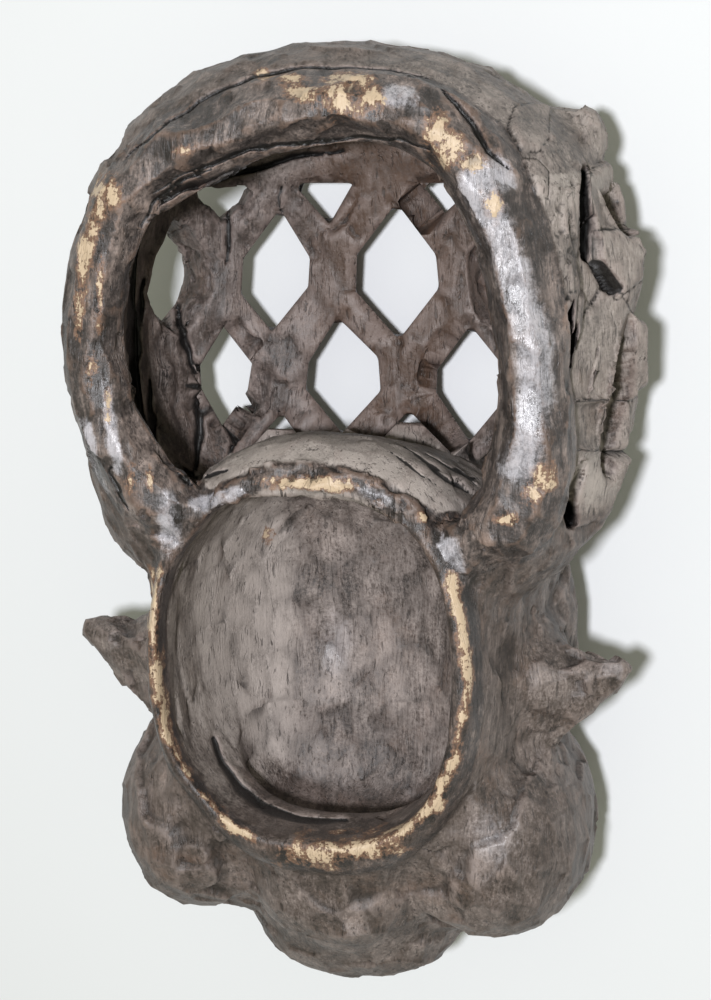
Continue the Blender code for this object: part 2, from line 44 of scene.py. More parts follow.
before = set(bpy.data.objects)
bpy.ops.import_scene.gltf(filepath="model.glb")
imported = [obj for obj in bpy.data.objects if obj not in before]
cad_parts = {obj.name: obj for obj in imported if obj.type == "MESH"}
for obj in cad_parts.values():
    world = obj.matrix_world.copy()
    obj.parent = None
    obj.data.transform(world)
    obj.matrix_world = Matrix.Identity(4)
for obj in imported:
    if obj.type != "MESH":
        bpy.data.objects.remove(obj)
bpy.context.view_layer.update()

# The bowl that goes over the wearer's head, and its rim
HEAD_Y = -0.073
RIM_HEIGHT = 0.2285
RIM_HALF = (0.108, 0.132)
BOWL_X = -0.003
BOWL_HALF = (0.095, 0.116)
ROUNDNESS = 2.3

# Arch round the open back of the headdress: x, y and half thickness, from foot to foot
ARCH_HEIGHT = 0.220
ARCH_LINE = (
    (-0.086, 0.024, 0.018),
    (-0.098, 0.032, 0.023),
    (-0.117, 0.046, 0.0235),
    (-0.134, 0.071, 0.0225),
    (-0.1445, 0.102, 0.0215),
    (-0.1475, 0.138, 0.0215),
    (-0.143, 0.179, 0.0215),
    (-0.127, 0.221, 0.0225),
    (-0.088, 0.251, 0.026),
    (-0.030, 0.276, 0.024),
    (0.022, 0.284, 0.023),
    (0.068, 0.279, 0.024),
    (0.099, 0.254, 0.025),
    (0.120, 0.208, 0.024),
    (0.134, 0.152, 0.024),
    (0.139, 0.096, 0.026),
    (0.136, 0.062, 0.031),
    (0.126, 0.038, 0.032),
    (0.106, 0.024, 0.022),
)
CROWN_DOME = 0.006
DEEPEST_CRACK = 0.008
LEDGE_SPACING = 0.017
LEDGE_HEIGHT = 0.0045
RIM_SHIFT = 0.0055
METRES_A_PIXEL = 0.00062
PIXELS_A_METRE = 1550
CHEEK_MIDDLES = ((-0.101, -0.203, 0.122), (0.101, -0.203, 0.122))
CHEEK_REACH = (0.066, 0.076, 0.090)

# The parts that are smoothed before they are carved
EVENED_PARTS = ("arch", "bowl", "crown", "cheeks", "chin", "side", "rim", "band", "ears")
MOST_TRIANGLES = 199999

# Where the photograph's camera stands: what it looks at, its turn and its rise in degrees
PICTURE = (711, 1000)
VIEW_TARGET = Vector((0.032, 0.0435, 0.235))
VIEW_TURN = 16
VIEW_RISE = 12
SENSOR = 0.036

# The studio: its floor, and where its light hangs and what colours it has
FLOOR_WIDTH = 8
KEY_WAY = Vector((0.296, 0.366, 2.135)).normalized()
KEY_DISTANCE = 2.2
KEY_COLOUR = (0.94, 0.95, 1.0)
FILL_COLOUR = (0.98, 1.0, 0.79, 1)

# Holes of the openwork as seen in the picture: middle, half width and half height in pixels
HOLES_SEEN = (
    (276, 273, 33, 59),
    (397, 272, 41, 68),
    (224, 376, 24, 50),
    (343, 375, 37, 60),
    (470, 383, 34, 60),
    (328, 178, 27, 44),
    (446, 172, 28, 44),
    (281, 470, 32, 56),
    (409, 466, 40, 58),
)

HOLES_TOP = 183.0
CUTTER_TOP = 0.085
CUTTER_FOOT = -0.02
SHEET_TOP = 0.10

# Flat-cut blocks on the right side of the headdress: corners in the picture, and how far each stands proud
BLOCKS_SEEN = (
    (((592, 168), (606, 160), (620, 184), (622, 226), (595, 229)), 0.003),
    (((594, 232), (624, 228), (641, 250), (641, 280), (612, 300), (592, 268)), 0.007),
    (((581, 320), (600, 290), (626, 300), (636, 335), (630, 400), (569, 398)), 0.004),
    (((556, 376), (560, 320), (570, 292), (582, 292), (577, 330), (568, 372)), 0.003),
    (((572, 403), (620, 401), (620, 449), (574, 450)), -0.002),
    (((622, 388), (638, 392), (640, 425), (634, 450), (623, 450)), 0.000),
    (((570, 452), (622, 452), (624, 490), (600, 540), (578, 548), (566, 500)), 0.004),
    (((508, 128), (514, 108), (530, 103), (546, 112), (549, 136), (538, 152), (518, 150)), 0.002),
    (((500, 158), (536, 160), (548, 172), (546, 200), (536, 196)), 0.003),
)
# Deep gaps on the right side of the headdress: corners in the picture, and how far each is pushed in; they
# are painted near black as shade.
GAPS_SEEN = (
    (((583, 166), (588, 168), (591, 215), (588, 262), (582, 258), (580, 210)), 0.026),
    (((566, 316), (572, 300), (571, 384), (564, 386)), 0.026),
    (((558, 458), (565, 456), (568, 498), (574, 530), (570, 540), (560, 500)), 0.026),
    (((588, 262), (594, 262), (612, 290), (606, 296)), 0.006),
)

# The undercut behind the arch's left side, as it shows dark in the picture; it is pushed in and painted near
# black as shade
UNDERCUT_SEEN = (
    (148, 210),
    (131, 232),
    (124, 262),
    (121, 300),
    (122, 350),
    (127, 400),
    (137, 438),
    (160, 466),
    (157, 448),
    (143, 412),
    (136, 360),
    (134, 300),
    (136, 255),
    (142, 235),
)

# The strip of small scaly cuts beside the arch's right side, as it shows in the picture
SCALES_SEEN = (
    (498, 162),
    (548, 206),
    (580, 166),
    (583, 262),
    (564, 330),
    (560, 450),
    (552, 450),
    (556, 330),
    (530, 240),
)

# Where the arch and rim are handled to a gloss and carry a pale painted highlight: points along each in the
# picture, and half width in pixels
GLOSS_AND_HIGHLIGHT_SEEN = (
    (((476, 186), (492, 214), (508, 250), (522, 300), (534, 350), (536, 400), (528, 440), (518, 464)), 13),
    (((494, 168), (500, 182)), 10),
    (((104, 380), (112, 430), (118, 470)), 4),
    (((84, 420), (92, 460), (104, 492)), 4),
    (((392, 96), (410, 100)), 8),
    (((164, 502), (172, 528), (168, 552)), 8),
    (((366, 490), (384, 500)), 6),
    (((446, 545), (458, 580)), 8),
    (((196, 506), (240, 492)), 5),
)

# Places that are a little glossy elsewhere, with a pale painted highlight: middle, half width and half height
# in the picture, and strength
SHINE_AND_HIGHLIGHT_SEEN = (
    (500, 828, 26, 34, 0.75),
    (470, 790, 16, 12, 0.5),
    (612, 672, 10, 16, 0.9),
    (580, 690, 12, 20, 0.5),
    (334, 640, 18, 32, 0.65),
    (560, 800, 16, 26, 0.4),
    (120, 640, 14, 16, 0.4),
    (200, 850, 14, 20, 0.35),
    (340, 930, 40, 12, 0.35),
)

# Worn spots down to bare wood: middle, half width and half height in pixels of the picture
SPOTS_SEEN = (
    (336, 98, 20, 17),
    (370, 98, 13, 12),
    (300, 92, 12, 8),
    (350, 78, 20, 5),
    (183, 151, 8, 4),
    (262, 74, 7, 5),
    (290, 78, 10, 5),
    (106, 192, 13, 14),
    (88, 250, 8, 20),
    (98, 210, 8, 10),
    (93, 230, 6, 12),
    (82, 270, 5, 22),
    (100, 292, 3, 30),
    (79, 310, 4, 24),
    (92, 370, 4, 14),
    (108, 405, 4, 14),
    (132, 478, 5, 12),
    (150, 480, 3, 10),
    (436, 130, 11, 16),
    (450, 150, 17, 14),
    (472, 163, 13, 8),
    (492, 205, 10, 14),
    (543, 476, 10, 14),
    (531, 494, 9, 12),
    (505, 519, 10, 6),
    (423, 518, 5, 5),
    (268, 539, 7, 7),
    (310, 483, 40, 6),
    (345, 487, 22, 5),
)
# Worn line along the rim of the bowl, and its half width in pixels
RIM_WEAR_SEEN = (
    (((153, 572), (151, 612), (154, 655), (160, 700)), 7),
    (((160, 700), (170, 742), (186, 772)), 7),
    (((186, 772), (206, 800), (232, 828), (252, 838)), 5),
    (((284, 850), (300, 848), (322, 860)), 13),
    (((336, 850), (362, 846), (388, 840)), 15),
    (((398, 834), (418, 820), (438, 798)), 8),
    (((438, 798), (455, 756), (464, 712), (467, 672)), 6),
    (((467, 672), (462, 632), (456, 606), (452, 575)), 7),
)

# Drying cracks: points along each in the picture, their least and most height, half width and depth
CRACKS_SEEN = (
    (((194, 468), (200, 440), (199, 415), (188, 385)), (0.03, 0.14), 0.0030, 0.022),
    (((230, 462), (234, 440), (229, 425)), (0.0, 0.12), 0.0018, 0.012),
    (((176, 305), (180, 325), (188, 352), (191, 372)), (0.02, 0.16), 0.0028, 0.016),
    (((150, 470), (140, 430), (134, 380), (136, 330), (143, 280)), (0.06, 0.20), 0.0034, 0.016),
    (((166, 476), (156, 450), (150, 410), (148, 380)), (0.04, 0.18), 0.0022, 0.014),
    (((226, 205), (229, 240), (226, 262)), (0.0, 0.12), 0.0014, 0.008),
    (((280, 184), (281, 218)), (0.0, 0.12), 0.0012, 0.008),
    (((170, 462), (186, 474), (208, 476), (226, 470)), (0.10, 0.24), 0.0020, 0.014),
    (((176, 474), (190, 486)), (0.10, 0.24), 0.0014, 0.008),
    (((426, 452), (452, 470), (478, 484)), (0.10, 0.24), 0.0011, 0.003),
    (((420, 460), (446, 480), (470, 492)), (0.10, 0.24), 0.0010, 0.003),
    (((440, 462), (462, 474), (482, 482)), (0.10, 0.24), 0.0009, 0.002),
    (((404, 448), (430, 466), (456, 484)), (0.10, 0.24), 0.0008, 0.002),
    (((390, 452), (414, 470), (436, 486)), (0.10, 0.24), 0.0007, 0.002),
    (((442, 88), (458, 104), (474, 126), (488, 152), (508, 168)), (0.15, 0.24), 0.0020, 0.006),
    (((144, 212), (180, 190), (235, 172), (290, 158), (344, 149)), (0.06, 0.225), 0.0026, 0.008),
    (((150, 196), (180, 176), (220, 158), (270, 144), (330, 138)), (0.10, 0.24), 0.0011, 0.003),
    (((166, 196), (205, 166), (250, 150), (300, 143), (350, 140)), (0.10, 0.24), 0.0012, 0.004),
    (((140, 226), (152, 204), (176, 184), (210, 168)), (0.10, 0.24), 0.0012, 0.004),
    (((318, 140), (350, 137), (400, 138), (430, 148)), (0.10, 0.24), 0.0014, 0.004),
    (((213, 738), (222, 765), (240, 790), (264, 808), (300, 821), (348, 822)), (0.06, 0.20), 0.0032, 0.006),
    (
        ((126, 158), (165, 125), (210, 96), (255, 77), (310, 67), (390, 70), (430, 78)),
        (0.15, 0.25),
        0.0010,
        0.004,
    ),
    (((112, 462), (108, 470), (128, 510)), (0.14, 0.25), 0.0014, 0.004),
)


def soft_step(low, high, value):
    """0 at low and 1 at high, smooth between them."""
    part = np.clip((value - low) / (high - low), 0, 1)
    return part * part * (3 - 2 * part)


def lumps(places, size, seed=0):
    """Smooth lumps of about this size, from -1 to 1. The size may differ from axis to axis."""
    cells = places / np.asarray(size, float) + 31.7 * (seed + 1)
    corner = np.floor(cells).astype(np.int64)
    part = cells - corner
    part = part * part * (3 - 2 * part)
    total = np.zeros(len(places))
    for step in itertools.product((0, 1), repeat=3):
        key = (corner + np.array(step)) @ np.array((73856093, 19349663, 83492791))
        key = (key ^ (key >> 13)) * 1274126177
        height = ((key ^ (key >> 16)) & 65535) / 32767.5 - 1
        total += height * np.prod(np.where(np.array(step) == 1, part, 1 - part), axis=1)
    return total


def rough(places, size, seed=0, layers=3):
    """Lumps with finer and finer ones laid over them."""
    total = np.zeros(len(places))
    for layer in range(layers):
        total += lumps(places, np.asarray(size, float) / 2**layer, seed + 7 * layer) / 2**layer
    return total


def camera_back():
    """The way from the mask to the photograph's camera."""
    return np.array(view_axes()[2])


def view_axes():
    """Right, up and back of the photograph's camera."""
    turn, rise = math.radians(VIEW_TURN), math.radians(VIEW_RISE)
    back = Vector((math.sin(turn) * math.cos(rise), math.sin(rise), math.cos(turn) * math.cos(rise)))
    up = Vector((-math.sin(rise) * math.sin(turn), math.cos(rise), -math.sin(rise) * math.cos(turn)))
    return up.cross(back), up, back


def seen(places):
    """Where places show in the picture, in pixels from its upper left corner."""
    stage = bpy.context.scene.studio_stage
    right, up, back = (np.array(axis) for axis in view_axes())
    away = places - np.array(VIEW_TARGET) - back * stage.distance
    scale = stage.lens / 1000 / SENSOR * PICTURE[1] / -(away @ back)
    return np.stack([PICTURE[0] / 2 + scale * (away @ right), PICTURE[1] / 2 - scale * (away @ up)], axis=1)


def place_seen(pixel, height):
    """The place at this height that shows at this pixel of the picture."""
    stage = bpy.context.scene.studio_stage
    right, up, back = view_axes()
    eye = VIEW_TARGET + back * stage.distance
    reach = stage.lens / 1000 / SENSOR * PICTURE[1]
    way = right * (pixel[0] - PICTURE[0] / 2) + up * (PICTURE[1] / 2 - pixel[1]) - back * reach
    return eye + way * (height - eye.z) / way.z


def within(spots, corners):
    """How far spots of the picture lie inside an outline, in pixels: below zero outside it."""
    closed = np.array((*corners, corners[0]), float)
    gap, _, _ = from_line(spots, closed)
    odd = np.zeros(len(spots), bool)
    for start, stop in zip(closed, closed[1:]):
        across = (start[1] > spots[:, 1]) != (stop[1] > spots[:, 1])
        rise = stop[1] - start[1] if stop[1] != start[1] else 1
        odd ^= across & (spots[:, 0] < start[0] + (spots[:, 1] - start[1]) * (stop[0] - start[0]) / rise)
    return np.where(odd, gap, -gap)


def from_line(places, line):
    """How far each place is from a line, its share along that line, and the nearest place on it."""
    line = np.asarray(line, float)
    lengths = np.linalg.norm(np.diff(line, axis=0), axis=1)
    nearest = np.full(len(places), np.inf)
    along = np.zeros(len(places))
    foot = np.zeros(places.shape)
    walked = 0
    for start, stop, length in zip(line, line[1:], lengths):
        part = np.clip((places - start) @ (stop - start) / length**2, 0, 1)
        spot = start + part[:, None] * (stop - start)
        gap = np.linalg.norm(places - spot, axis=1)
        closer = gap < nearest
        nearest[closer] = gap[closer]
        foot[closer] = spot[closer]
        along[closer] = (walked + part[closer] * length) / lengths.sum()
        walked += length
    return nearest, along, foot


def arch_reach(places):
    """Distance from the arch's middle line in half thicknesses, that thickness, and the nearest place."""
    line = [(x, y, ARCH_HEIGHT) for x, y, _ in ARCH_LINE]
    gap, along, foot = from_line(places, line)
    steps = np.linalg.norm(np.diff(np.array(line), axis=0), axis=1)
    marks = np.concatenate([[0], np.cumsum(steps)]) / steps.sum()
    thick = np.interp(along, marks, [radius for _, _, radius in ARCH_LINE])
    return gap / thick, thick, foot


def rim_line():
    """Points along the middle of the bowl's rim."""
    turns = np.linspace(0, 2 * math.pi, 73)
    power = 2 / ROUNDNESS
    x = RIM_HALF[0] * np.sign(np.cos(turns)) * np.abs(np.cos(turns)) ** power
    y = HEAD_Y + RIM_HALF[1] * np.sign(np.sin(turns)) * np.abs(np.sin(turns)) ** power
    return np.stack([x, y, np.full(len(turns), RIM_HEIGHT)], axis=1)


class Skin:
    """The points of the carved surface, worked in code as with a sculpting brush."""

    def __init__(self, piece):
        self.piece = piece
        self.read()

    def read(self):
        mesh = self.piece.data
        self.places = self.column(mesh.vertices, "co", 3)
        self.normals = self.column(mesh.vertices, "normal", 3)
        self.edges = self.column(mesh.edges, "vertices", 2, np.int32)
        self.shares = np.bincount(self.edges.ravel(), minlength=len(self.places))

    @staticmethod
    def column(items, name, width, kind=np.float32):
        values = np.empty(len(items) * width, kind)
        items.foreach_get(name, values)
        return values.reshape(-1, width) if kind == np.int32 else values.reshape(-1, width).astype(float)

    def write(self):
        mesh = self.piece.data
        mesh.vertices.foreach_set("co", self.places.astype(np.float32).ravel())
        mesh.update()
        self.read()

    def push(self, height):
        """Moves the points out along their normals."""
        self.places += self.normals * height[:, None]
        self.write()

    def blurred(self, values, times):
        """Values shared out between neighbouring points, some number of times."""
        values = values.astype(float)
        for _ in range(times):
            total = np.bincount(self.edges[:, 0], values[self.edges[:, 1]], len(values))
            total += np.bincount(self.edges[:, 1], values[self.edges[:, 0]], len(values))
            values = 0.5 * values + 0.5 * total / np.maximum(self.shares, 1)
        return values

    def smooth(self, region, times):
        """Evens out a region."""
        even = np.stack([self.blurred(self.places[:, axis], times) for axis in range(3)], axis=1)
        self.places += (even - self.places) * region[:, None]
        self.write()

    def hollowness(self, times):
        """How far the surface lies below its own blurred shape: above zero in hollows, below it on edges."""
        smooth = np.stack([self.blurred(self.places[:, axis], times) for axis in range(3)], axis=1)
        return ((smooth - self.places) * self.normals).sum(axis=1)

    def look(self):
        """Notes which points the photograph's camera sees."""
        faces = [tuple(face.vertices) for face in self.piece.data.polygons]
        tree = BVHTree.FromPolygons(self.places.tolist(), faces)
        eye = VIEW_TARGET + view_axes()[2] * bpy.context.scene.studio_stage.distance
        self.shown = np.zeros(len(self.places), bool)
        for number, place in enumerate(self.places.tolist()):
            way = Vector(place) - eye
            reach = way.length
            self.shown[number] = tree.ray_cast(eye, way / reach, reach - 0.003)[0] is None

    def store(self, name, values):
        mesh = self.piece.data
        layer = mesh.attributes.get(name) or mesh.attributes.new(name, "FLOAT", "POINT")
        layer.data.foreach_set("value", np.clip(values, 0, 1).astype(np.float32))


def facet(skin, region, size, flatness, seed, stretch=(1, 1, 1), tilt=0.0, lift=0.0, most=0.004):
    """Cuts a region into flat chisel facets of about this size.

    Returns how near each point is to a facet's edge, and each facet's own shade from 0 to 1."""
    inside = np.flatnonzero(region > 0.02)
    places = skin.places[inside]
    normals = skin.normals[inside]
    spread = places / np.asarray(stretch, float) + normals * size * 0.7
    chance = np.random.default_rng(seed)
    order = chance.permutation(len(inside))
    cells = np.floor(spread[order] / size + chance.random(3)).astype(np.int64)
    seeds = order[np.unique(cells, axis=0, return_index=True)[1]]
    tree = kdtree.KDTree(len(seeds))
    for number, spot in enumerate(spread[seeds]):
        tree.insert(spot, number)
    tree.balance()
    found = [tree.find_n(spot, 2) for spot in spread]
    owner = np.array([near[0][1] for near in found])
    margin = np.array([near[-1][2] - near[0][2] for near in found])
    count = np.maximum(np.bincount(owner, minlength=len(seeds)), 1)[:, None]
    middles = np.stack([np.bincount(owner, places[:, axis], len(seeds)) for axis in range(3)], axis=1) / count
    facing = np.stack([np.bincount(owner, normals[:, axis], len(seeds)) for axis in range(3)], axis=1) / count
    facing += chance.normal(0, tilt, facing.shape)
    facing /= np.linalg.norm(facing, axis=1, keepdims=True) + 1e-9
    height = ((middles[owner] - places) * facing[owner]).sum(axis=1)
    height = np.clip(height, -most, most) * flatness + chance.normal(0, lift, len(seeds))[owner]
    skin.places[inside] += facing[owner] * (height * region[inside])[:, None]
    skin.write()
    edge = np.zeros(len(region))
    edge[inside] = np.clip(1 - margin / (0.25 * size), 0, 1) * region[inside]
    shade = np.zeros(len(region))
    shade[inside] = chance.random(len(seeds))[owner] * region[inside]
    return edge, shade


def oval_share(x, y, middle_x, half):
    """How far out places lie in the rounded outline of the bowl or its rim: 1 on the outline."""
    return np.abs((x - middle_x) / half[0]) ** ROUNDNESS + np.abs((y - HEAD_Y) / half[1]) ** ROUNDNESS


def outside(share, parts, *names):
    """A share from 0 to 1, less the parts that are named."""
    for name in names:
        share = share * (1 - parts[name])
    return share


def regions_of(skin):
    """The parts of the mask, each as a share from 0 to 1 for every point."""
    places, normals = skin.places, skin.normals
    x, y, z = places.T
    width = np.abs(x)
    parts = {}

    reach, _, _ = arch_reach(places)
    parts["arch"] = soft_step(1.32, 1.12, reach)
    rim_gap, _, _ = from_line(places, rim_line())
    rim_top = soft_step(0.030, 0.050, y)
    parts["rim"] = outside(soft_step(0.020, 0.012, rim_gap + 0.007 * rim_top), parts, "arch")

    toward_middle = normals[:, 0] * (BOWL_X - x) + normals[:, 1] * (HEAD_Y - y)
    inward = toward_middle / np.hypot(x - BOWL_X, y - HEAD_Y)
    in_bowl = soft_step(1.25, 0.95, oval_share(x, y, BOWL_X, BOWL_HALF)) * soft_step(0.055, 0.068, z)
    in_bowl *= soft_step(-0.2, 0.1, inward + 1.5 * normals[:, 2])
    parts["bowl"] = outside(in_bowl, parts, "rim")

    high = soft_step(0.045, 0.065, y + 0.10 * soft_step(0.10, 0.16, width))
    cap = outside(soft_step(0.015, 0.035, y), parts, "arch")
    outer = soft_step(0.142, 0.152, np.hypot(x, 0.9 * (y - 0.120)))
    sideways = soft_step(0.30, 0.60, np.abs(normals[:, 0]) + 0.3 * (normals[:, 2] > 0))
    parts["wall"] = cap * outer * sideways * (y < 0.245)
    parts["band"] = outside(soft_step(0.222, 0.240, y), parts, "arch")
    crown = soft_step(0.010, 0.030, y) * soft_step(0.085, 0.110, z) * soft_step(0.125, 0.105, y)
    parts["crown"] = crown * outside(soft_step(0.125, 0.112, width), parts, "arch", "bowl", "rim")
    parts["openwork"] = outside(cap * high * soft_step(0.135, 0.110, z), parts, "crown", "wall")
    parts["inner"] = outside(cap * soft_step(0.085, 0.105, z) * (1 - outer), parts, "crown", "band")

    cheeks = np.zeros(len(x))
    for middle in CHEEK_MIDDLES:
        share = np.linalg.norm((places - middle) / CHEEK_REACH, axis=1)
        cheeks = np.maximum(cheeks, soft_step(1.18, 1.05, share))
    parts["cheeks"] = outside(cheeks, parts, "rim", "bowl")
    parts["ears"] = outside(soft_step(0.122, 0.135, width) * soft_step(0.030, -0.020, y), parts, "cheeks")
    side = soft_step(0.085, 0.100, width) * soft_step(0.030, 0.010, y) * soft_step(0.05, 0.08, z)
    parts["side"] = outside(side, parts, "cheeks", "ears", "rim", "bowl")
    chin = soft_step(-0.195, -0.215, y) * soft_step(0.09, 0.12, z)
    parts["chin"] = outside(chin, parts, "cheeks", "rim")
    parts["face"] = outside(soft_step(0.075, 0.055, z), parts, "openwork")

    top = rim_top * soft_step(0.095, 0.120, z) * soft_step(0.125, 0.100, y)
    top *= soft_step(0.125, 0.112, width)
    top *= soft_step(1.03, 1.13, oval_share(x, y, 0, RIM_HALF))
    parts["dusty_top"] = top * ((1 - parts["arch"]) * (1 - parts["bowl"]))
    return parts


def whole_copy(node, name):
    """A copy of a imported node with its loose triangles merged."""
    bpy.ops.object.select_all(action="DESELECT")
    piece = bpy.data.objects.new(name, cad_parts[node].data.copy())
    bpy.context.scene.collection.objects.link(piece)
    piece.data.materials.clear()
    piece.select_set(True)
    bpy.context.view_layer.objects.active = piece
    bpy.ops.object.mode_set(mode="EDIT")
    bpy.ops.mesh.select_all(action="SELECT")
    bpy.ops.mesh.customdata_custom_splitnormals_clear()
    bpy.ops.mesh.remove_doubles(threshold=0.00002)
    bpy.ops.mesh.normals_make_consistent(inside=False)
    bpy.ops.object.mode_set(mode="OBJECT")
    return piece


def finish_with(piece, kind, **settings):
    """Adds a modifier and applies it."""
    modifier = piece.modifiers.new(kind.title(), kind)
    for name, value in settings.items():
        setattr(modifier, name, value)
    bpy.context.view_layer.objects.active = piece
    bpy.ops.object.modifier_apply(modifier=modifier.name)


def hole_corners():
    """Corners of each hole of the openwork in the picture, clockwise from its top."""
    chance = np.random.default_rng(3)
    holes = []
    for x, y, half_width, half_height in HOLES_SEEN:
        shoulder = half_height * 0.24
        corners = (
            (x, y - half_height),
            (x + half_width, y - shoulder),
            (x + half_width, y + shoulder),
            (x, y + half_height),
            (x - half_width, y + shoulder),
            (x - half_width, y - shoulder),
        )
        corners = corners + chance.normal(0, 2.0, (6, 2))
        holes.append([(across, max(down, HOLES_TOP)) for across, down in corners])
    return holes


def around(spots, corners, margin=20):
    """Which spots of the picture lie in a box round some corners."""
    low, high = np.min(corners, axis=0) - margin, np.max(corners, axis=0) + margin
    return ((spots > low) & (spots < high)).all(axis=1)


def cut_openwork(piece):
    """Opens the holes of the openwork again with straight, sharp sides, as the picture shows them."""
    for corners in hole_corners():
        bpy.ops.object.select_all(action="DESELECT")
        bpy.ops.mesh.primitive_cylinder_add(vertices=6, radius=1, depth=2, location=(0, 0, 0))
        cutter = bpy.context.active_object
        for vertex in cutter.data.vertices:
            turn = math.atan2(vertex.co.x, vertex.co.y) % (2 * math.pi)
            corner = corners[round(turn / (math.pi / 3)) % 6]
            vertex.co = place_seen(corner, CUTTER_TOP if vertex.co.z > 0 else CUTTER_FOOT)
        finish_with(piece, "BOOLEAN", operation="DIFFERENCE", solver="EXACT", object=cutter)
        bpy.data.objects.remove(cutter)


def bevel_holes(skin):
    """Bevels the front of the bars towards each side of each hole, to its own width."""
    back = camera_back()
    chance = np.random.default_rng(9)
    toward = skin.normals @ back
    drop = np.zeros(len(skin.places))
    for corners in hole_corners():
        spots = seen(skin.places)
        facing = skin.shown & (toward > 0.1) & (skin.places[:, 2] < SHEET_TOP)
        near = np.flatnonzero(around(spots, corners) & facing)
        closed = np.array((*corners, corners[0]))
        for start, stop in zip(closed, closed[1:]):
            gap, _, _ = from_line(spots[near], (start, stop))
            width = chance.uniform(3, 15)
            drop[near] = np.maximum(drop[near], 0.0004 * np.maximum(width - gap, 0))
    skin.places -= back * drop[:, None]
    skin.write()


def straighten_holes(skin):
    """Brings the sides of the holes to straight cuts after the carving."""
    right, up, back = (np.array(axis) for axis in view_axes())
    stage = bpy.context.scene.studio_stage
    x, y, z = skin.places.T
    sheet = (z < SHEET_TOP) & (np.hypot(x, 0.9 * (y - 0.120)) < 0.150) & (y > 0.03)
    for reach, evening in ((18, 4), (6, 0)):
        moved = np.zeros(len(skin.places))
        facing = np.zeros(len(skin.places))
        holes = []
        for corners in hole_corners():
            spots = seen(skin.places)
            near = np.flatnonzero(around(spots, corners) & sheet)
            way = np.array(place_seen(np.mean(corners, axis=0), 0.04)) - skin.places[near]
            way /= np.linalg.norm(way, axis=1, keepdims=True)
            facing[near] = np.maximum(facing[near], (way * skin.normals[near]).sum(axis=1))
            holes.append((corners, near))
        facing = skin.blurred(facing, 3)
        for corners, near in holes:
            spots = seen(skin.places[near])
            gap, _, foot = from_line(spots, (*corners, corners[0]))
            inside = within(spots, corners) > 0
            share = np.maximum(inside, soft_step(0.15, 0.40, facing[near]) * (gap < reach)) * 0.95
            move = (foot - spots) * share[:, None]
            away = -(skin.places[near] - np.array(VIEW_TARGET) - back * stage.distance) @ back
            scale = away / (stage.lens / 1000 / SENSOR * PICTURE[1])
            skin.places[near] += (right * move[:, :1] - up * move[:, 1:]) * scale[:, None]
            moved[near] = np.maximum(moved[near], share)
        skin.write()
        skin.smooth(skin.blurred(moved, 2), evening)


def round_crown(skin):
    """Rounds the steep wall between the bowl's rim and the openwork out into a dome."""
    x, y, z = skin.places.T
    away = np.stack([x - BOWL_X, y - HEAD_Y], axis=1)
    away /= np.linalg.norm(away, axis=1, keepdims=True)
    share = oval_share(x, y, 0, RIM_HALF)
    reach, _, _ = arch_reach(skin.places)
    out = CROWN_DOME * soft_step(0.2285, 0.203, z) * soft_step(0.125, 0.195, z) * soft_step(1.0, 1.15, share)
    middle = soft_step(0.0, 0.035, y) * soft_step(0.105, 0.075, np.abs(x))
    out *= middle * soft_step(1.0, 1.3, reach) * (y < 0.12)
    skin.places[:, :2] += away * out[:, None]
    skin.write()


def shape_arch(skin):
    """Cuts the arch to a flat top between bevels, and moves the rim's left side out."""
    reach, thick, foot = arch_reach(skin.places)
    inward = np.array((0.0, 0.140, ARCH_HEIGHT)) - foot
    inward[:, 2] = 0
    inward /= np.linalg.norm(inward, axis=1, keepdims=True)
    near = soft_step(1.40, 1.20, reach)
    uneven = 0.07 * rough(skin.places, 0.030, 8, 2)
    left = soft_step(-0.05, -0.11, foot[:, 0]) * soft_step(0.25, 0.20, foot[:, 1])
    flank = ((0.87, 0.49), 0.55 + 0.30 * left)
    for (across, rise), limit in (flank, ((-0.22, 0.975), 0.86), ((-0.82, 0.57), 0.86)):
        offset = ((skin.places - foot) * inward).sum(axis=1) / thick
        height = (skin.places[:, 2] - ARCH_HEIGHT) / thick
        over = np.maximum(across * offset + rise * height - limit - uneven, 0) * thick * near
        skin.places -= (inward * across + np.array((0, 0, rise))) * over[:, None]
    x, y, z = skin.places.T
    spots = seen(skin.places)
    notch = (spots[:, 1] > 122) & (spots[:, 1] < 157) & (spots[:, 0] < 127)
    inset = np.minimum(127 - spots[notch, 0], 10) * METRES_A_PIXEL
    skin.places[notch] += np.array(view_axes()[0]) * inset[:, None]
    left = soft_step(-0.075, -0.100, x) * soft_step(0.020, -0.010, y)
    left = left * soft_step(-0.200, -0.150, y) * soft_step(0.12, 0.19, z)
    skin.places[:, 0] -= RIM_SHIFT * left
    skin.write()


